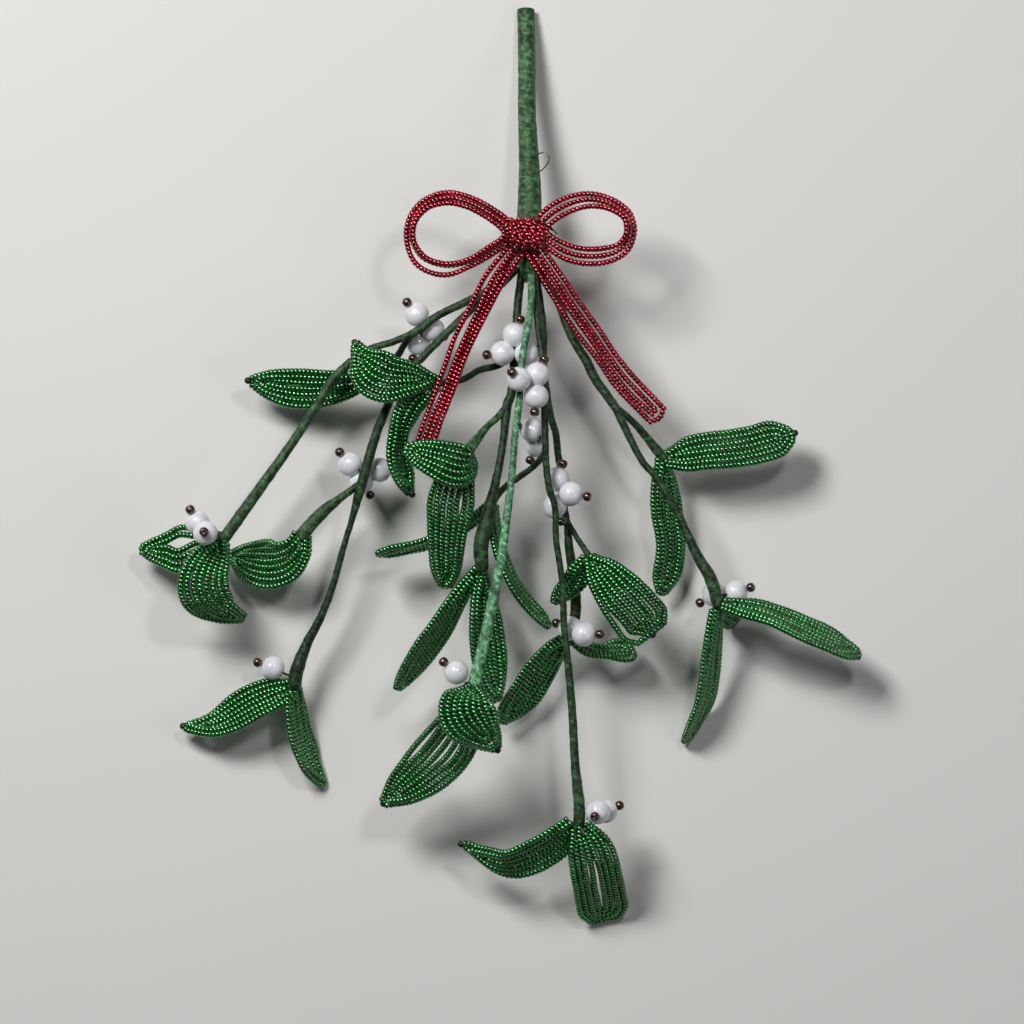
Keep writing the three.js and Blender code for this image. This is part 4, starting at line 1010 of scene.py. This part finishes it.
class BeadSettings(bpy.types.PropertyGroup):
    bead_diameter: FloatProperty(
        name="Bead diameter", description="Width of a seed bead", default=2.26 * MM,
        min=0.5 * MM, unit="LENGTH", subtype="DISTANCE")
    bead_length: FloatProperty(
        name="Bead length", description="Length of a seed bead along its wire", default=1.32 * MM,
        min=0.3 * MM, unit="LENGTH", subtype="DISTANCE")
    bead_pitch: FloatProperty(
        name="Bead pitch", description="Distance from bead to bead along the wire",
        default=1.32 * MM, min=0.5 * MM, unit="LENGTH", subtype="DISTANCE")
    bead_variation: FloatProperty(
        name="Bead variation", description="How much smaller the smallest beads are", default=0.06,
        min=0, max=0.5, subtype="FACTOR")
    wire_diameter: FloatProperty(
        name="Wire diameter", description="Thickness of the wire inside the beads",
        default=0.5 * MM, min=0.1 * MM, unit="LENGTH", subtype="DISTANCE")
    green: FloatVectorProperty(
        name="Leaf beads", description="Colour of the leaf beads", subtype="COLOR", size=3,
        default=(0.003, 0.24, 0.024), min=0, max=1)
    red: FloatVectorProperty(
        name="Bow beads", description="Colour of the bow beads", subtype="COLOR", size=3,
        default=(0.44, 0.002, 0.026), min=0, max=1)
    seed: IntProperty(name="Seed", description="Changes how the beads vary", default=3, min=0)


class StemSettings(bpy.types.PropertyGroup):
    tape: FloatVectorProperty(
        name="Tape", description="Colour of the dark stem tape", subtype="COLOR", size=3,
        default=(0.019, 0.055, 0.018), min=0, max=1)
    pale_tape: FloatVectorProperty(
        name="Pale tape", description="Colour of the pale stem tape", subtype="COLOR", size=3,
        default=(0.1, 0.26, 0.13), min=0, max=1)
    wrap_pitch: FloatProperty(
        name="Wrap pitch", description="Distance from one turn of the tape to the next",
        default=6 * MM, min=1 * MM, unit="LENGTH", subtype="DISTANCE")
    wrap_edge: FloatProperty(
        name="Wrap edge", description="Height of the tape's edge on the turn below",
        default=0.09 * MM, min=0, unit="LENGTH", subtype="DISTANCE")


class BerrySettings(bpy.types.PropertyGroup):
    pearl: FloatVectorProperty(
        name="Pearl", description="Colour of the pearl berries", subtype="COLOR", size=3,
        default=(0.74, 0.75, 0.79), min=0, max=1)
    bronze: FloatVectorProperty(
        name="Bronze", description="Colour of the stop beads and their wire", subtype="COLOR",
        size=3, default=(0.13, 0.08, 0.066), min=0, max=1)
    unevenness: FloatProperty(
        name="Unevenness", description="How far a pearl's surface strays from round",
        default=0.1 * MM, min=0, unit="LENGTH", subtype="DISTANCE")


class StageSettings(bpy.types.PropertyGroup):
    floor: FloatVectorProperty(
        name="Floor", description="Colour of the floor", subtype="COLOR", size=3,
        default=(0.72, 0.71, 0.69), min=0, max=1)
    camera_height: FloatProperty(
        name="Camera height", description="Height of the camera above the floor", default=6.0,
        min=0.5, unit="LENGTH", subtype="DISTANCE")
    view_width: FloatProperty(
        name="View width", description="Width that the camera takes in at the object",
        default=327.7 * MM, min=0.05, unit="LENGTH", subtype="DISTANCE")

# --- pieces -------------------------------------------------------------------------------------


def stem_piece(name, slot, branches):
    """A taped stem with its branches."""
    stems = bpy.context.scene.mistletoe_stems
    pitch, edge = stems.wrap_pitch / MM, stems.wrap_edge / MM

    def relief(angle, length, spot):
        turn = (length / pitch + angle / math.tau) % 1
        ridge = edge * (turn ** 2 - 1)
        wrinkle = WRINKLE * noise.noise(Vector((angle * 1.2, length * 0.9, spot.x)))
        return ridge + wrinkle

    shapes, pairs, tones = [], [], []
    for branch, (start, end) in zip(branches, STEM_TONES[name]):
        samples = smooth(branch, STEM_STEPS)
        spots = [Vector(s[:3]) for s in samples]
        radii = [s[3] for s in samples]
        tip, way = spots[-1], (spots[-1] - spots[-2]).normalized()
        for reach, size in STEM_END:
            spots.append(tip + way * reach)
        radii.extend([radii[-1] * size for _, size in STEM_END])
        verts, faces, turns = swept_tube(spots, radii, STEM_SIDES, relief)
        shapes.append((verts, faces))
        pairs.extend(turns)
        last = len(verts) - 1
        tones.extend(start + (end - start) * k / last for k in range(last + 1))
    colour = stems.pale_tape if slot == "pale_tape" else stems.tape
    tape = finish(slot + "_crepe", crepe_tape, colour, pitch)
    piece = mesh_piece("taped_" + name, shapes, tape, [name], slot, pairs)
    layer = piece.data.attributes.new("tape_tone", "FLOAT", "POINT")
    layer.data.foreach_set("value", tones)


class MISTLETOE_OT_wrap_stems(bpy.types.Operator):
    """Wrap every stem in its tape"""

    bl_idname = "mistletoe.wrap_stems"
    bl_label = "Wrap Stems"

    def execute(self, context):
        for name, (slot, branches) in STEMS.items():
            stem_piece(name, slot, branches)
        return {"FINISHED"}


class MISTLETOE_OT_string_leaves(bpy.types.Operator):
    """String the beads of every leaf"""

    bl_idname = "mistletoe.string_leaves"
    bl_label = "String Leaves"

    def execute(self, context):
        green = context.scene.mistletoe_beads.green
        glass = finish("green_bead_glass", bead_glass, green, GREEN_GLOSS)
        for i, leaf in enumerate(LEAVES, 1):
            bead_piece(f"leaf_{i:02}", leaf_strands(leaf, i), glass, "green_beads", i)
        return {"FINISHED"}


def pearl_ball(centre, seed):
    """Vertices and faces of one slightly uneven pearl."""
    strength = bpy.context.scene.mistletoe_berries.unevenness / MM
    profile = []
    for k in range(PEARL_RINGS + 1):
        angle = math.pi * (PEARL_POLE + (1 - 2 * PEARL_POLE) * k / PEARL_RINGS)
        profile.append((PEARL_RADIUS * math.sin(angle), -PEARL_RADIUS * math.cos(angle)))
    verts, faces = lathe(profile, (0, 0, 0), UP, PEARL_SIDES)
    shaped = []
    for vert in verts:
        wave = noise.noise(vert.normalized() * 1.7 + Vector((seed * 3.1, 0, 0)))
        shaped.append(Vector(centre) + vert * (1 + strength * (wave - 0.4) / PEARL_RADIUS))
    return shaped, faces


def stop_bead(centre, way):
    """Vertices and faces of a bronze bead that holds a pearl."""
    middle = Vector(centre) + Vector(way).normalized() * (PEARL_RADIUS + STOP_GAP + STOP_HALF)
    profile = [(wide * STOP_RADIUS, far * STOP_HALF) for wide, far in STOP_PROFILE]
    return lathe(profile, middle, way, STOP_SIDES)


class MISTLETOE_OT_wire_berries(bpy.types.Operator):
    """Wire the pearl berries and their bronze stop beads"""

    bl_idname = "mistletoe.wire_berries"
    bl_label = "Wire Berries"

    def execute(self, context):
        colours = context.scene.mistletoe_berries
        for i, (hub, pearls) in enumerate(BERRIES, 1):
            balls, metal = [], []
            for k, (centre, way) in enumerate(pearls):
                balls.append(pearl_ball(centre, i * 4 + k))
                end = Vector(centre) + Vector(way).normalized() * PEARL_RADIUS
                metal.append(wire_shape([hub, centre, end], *BERRY_WIRE))
                metal.append(stop_bead(centre, way))
            mesh_piece(f"pearl_berries_{i:02}", balls,
                       finish("pearl_lustre", pearl_lustre, colours.pearl),
                       [f"berries_{i:02}"], "pearl")
            mesh_piece(f"bronze_wires_{i:02}", metal,
                       finish("bronze_lustre", bronze_lustre, colours.bronze),
                       [f"berry_wires_{i:02}"], "bronze_beads")
        return {"FINISHED"}


class MISTLETOE_OT_tie_bow(bpy.types.Operator):
    """String the loops, tails and knot of the red bow"""

    bl_idname = "mistletoe.tie_bow"
    bl_label = "Tie Bow"

    def execute(self, context):
        red = context.scene.mistletoe_beads.red
        glass = finish("red_bead_glass", bead_glass, red, RED_GLOSS)
        parts = [(name, loop_strands(points), seed, True)
                 for seed, (name, points) in enumerate(LOOPS.items(), LOOP_SEED)]
        tails = [strand for tail in TAILS for strand in tail_strands(tail)]
        parts.append(("bow_tails", tails, TAIL_SEED, False))
        parts.append(("bow_knot", knot_strands(), KNOT_SEED, True))
        for name, strands, seed, closed in parts:
            bead_piece(name, strands, glass, "red_beads", seed, closed, BOW_FULLER)
        return {"FINISHED"}


class MISTLETOE_OT_bend_loose_wires(bpy.types.Operator):
    """Bend the loose ends of wire at the knot, the leaf tips and the trunk"""

    bl_idname = "mistletoe.bend_loose_wires"
    bl_label = "Bend Loose Wires"

    def execute(self, context):
        dark = finish("bead_wire", dark_wire)
        bronze = finish("bronze_lustre", bronze_lustre, context.scene.mistletoe_berries.bronze)
        ends = [wire_shape(smooth(line, 5), *KNOT_WIRE) for line in KNOT_WIRES]
        knobs = []
        for number in KNOBBED_LEAVES:
            tip, way = Path(LEAVES[number - 1]["line"]).at(1)
            knobs.append(lathe(KNOB, tip, way, KNOB_SIDES))
        loop = wire_shape(smooth(TRUNK_WIRE, 8), *LOOP_WIRE)
        for name, shapes, material in (("knot_wire_ends", ends, dark),
                                       ("leaf_tip_wires", knobs, dark),
                                       ("trunk_wire_loop", [loop], bronze)):
            mesh_piece(name, shapes, material, [], "bronze_beads")
        return {"FINISHED"}


def soft_light(name, place, size, power, target):
    """A square light that shines at a target."""
    lamp = bpy.data.lights.new(name, "AREA")
    lamp.size = size
    lamp.energy = power
    made = put_in_scene(name, lamp)
    made.location = place
    made.rotation_euler = (target - made.location).to_track_quat("-Z", "Y").to_euler()


class MISTLETOE_OT_set_stage(bpy.types.Operator):
    """Lay the floor, hang the lights and place the camera"""

    bl_idname = "mistletoe.set_stage"
    bl_label = "Set Stage"

    def execute(self, context):
        stage = context.scene.mistletoe_stage
        view_centre = placed(VIEW_CENTRE)
        corners = [(x * FLOOR_REACH, y * FLOOR_REACH, -FLOOR_DROP)
                   for x, y in ((-1, -1), (1, -1), (1, 1), (-1, 1))]
        add_mesh("floor", corners, [(0, 1, 2, 3)],
                          finish("pale_floor", pale_floor, stage.floor))

        for name, place, size, power in LIGHTS:
            soft_light(name, place, size, power, view_centre)
        world = bpy.data.worlds.new("studio")
        world.use_nodes = True
        sky = world.node_tree.nodes["Background"]
        feed(world.node_tree, sky, {"Color": SKY_COLOUR, "Strength": SKY_STRENGTH})
        context.scene.world = world
        context.scene.view_settings.view_transform = "Standard"

        lens = bpy.data.cameras.new("camera")
        lens.sensor_width = SENSOR_WIDTH
        lens.clip_end = CLIP_END
        distance = stage.camera_height - VIEW_LEVEL
        lens.lens = lens.sensor_width * distance / stage.view_width
        camera = put_in_scene("camera", lens)
        camera.location = (view_centre.x, view_centre.y, stage.camera_height)
        context.scene.camera = camera
        return {"FINISHED"}


class MISTLETOE_PT_bunch(bpy.types.Panel):
    """Sizes and colours of the mistletoe bunch"""

    bl_label = "Beaded Mistletoe"
    bl_idname = "MISTLETOE_PT_bunch"
    bl_space_type = "VIEW_3D"
    bl_region_type = "UI"
    bl_category = "Mistletoe"

    def draw(self, context):
        layout = self.layout
        for group in (context.scene.mistletoe_beads, context.scene.mistletoe_stems,
                      context.scene.mistletoe_berries, context.scene.mistletoe_stage):
            box = layout.box()
            for key in group.bl_rna.properties.keys():
                if key not in ("rna_type", "name"):
                    box.prop(group, key)
        for operator in OPERATORS:
            layout.operator(operator.bl_idname)


OPERATORS = (MISTLETOE_OT_wrap_stems, MISTLETOE_OT_string_leaves, MISTLETOE_OT_wire_berries,
             MISTLETOE_OT_tie_bow, MISTLETOE_OT_bend_loose_wires, MISTLETOE_OT_set_stage)
CLASSES = (BeadSettings, StemSettings, BerrySettings, StageSettings, *OPERATORS,
           MISTLETOE_PT_bunch)


def register():
    for cls in CLASSES:
        bpy.utils.register_class(cls)
    bpy.types.Scene.mistletoe_beads = PointerProperty(type=BeadSettings)
    bpy.types.Scene.mistletoe_stems = PointerProperty(type=StemSettings)
    bpy.types.Scene.mistletoe_berries = PointerProperty(type=BerrySettings)
    bpy.types.Scene.mistletoe_stage = PointerProperty(type=StageSettings)


def unregister():
    for name in ("mistletoe_stage", "mistletoe_berries", "mistletoe_stems", "mistletoe_beads"):
        delattr(bpy.types.Scene, name)
    for cls in reversed(CLASSES):
        bpy.utils.unregister_class(cls)


def main():
    """Builds the bunch and its stage."""
    register()
    bpy.ops.mistletoe.wrap_stems()
    bpy.ops.mistletoe.string_leaves()
    bpy.ops.mistletoe.wire_berries()
    bpy.ops.mistletoe.tie_bow()
    bpy.ops.mistletoe.bend_loose_wires()
    bpy.ops.mistletoe.set_stage()


if __name__ == "__main__":
    main()
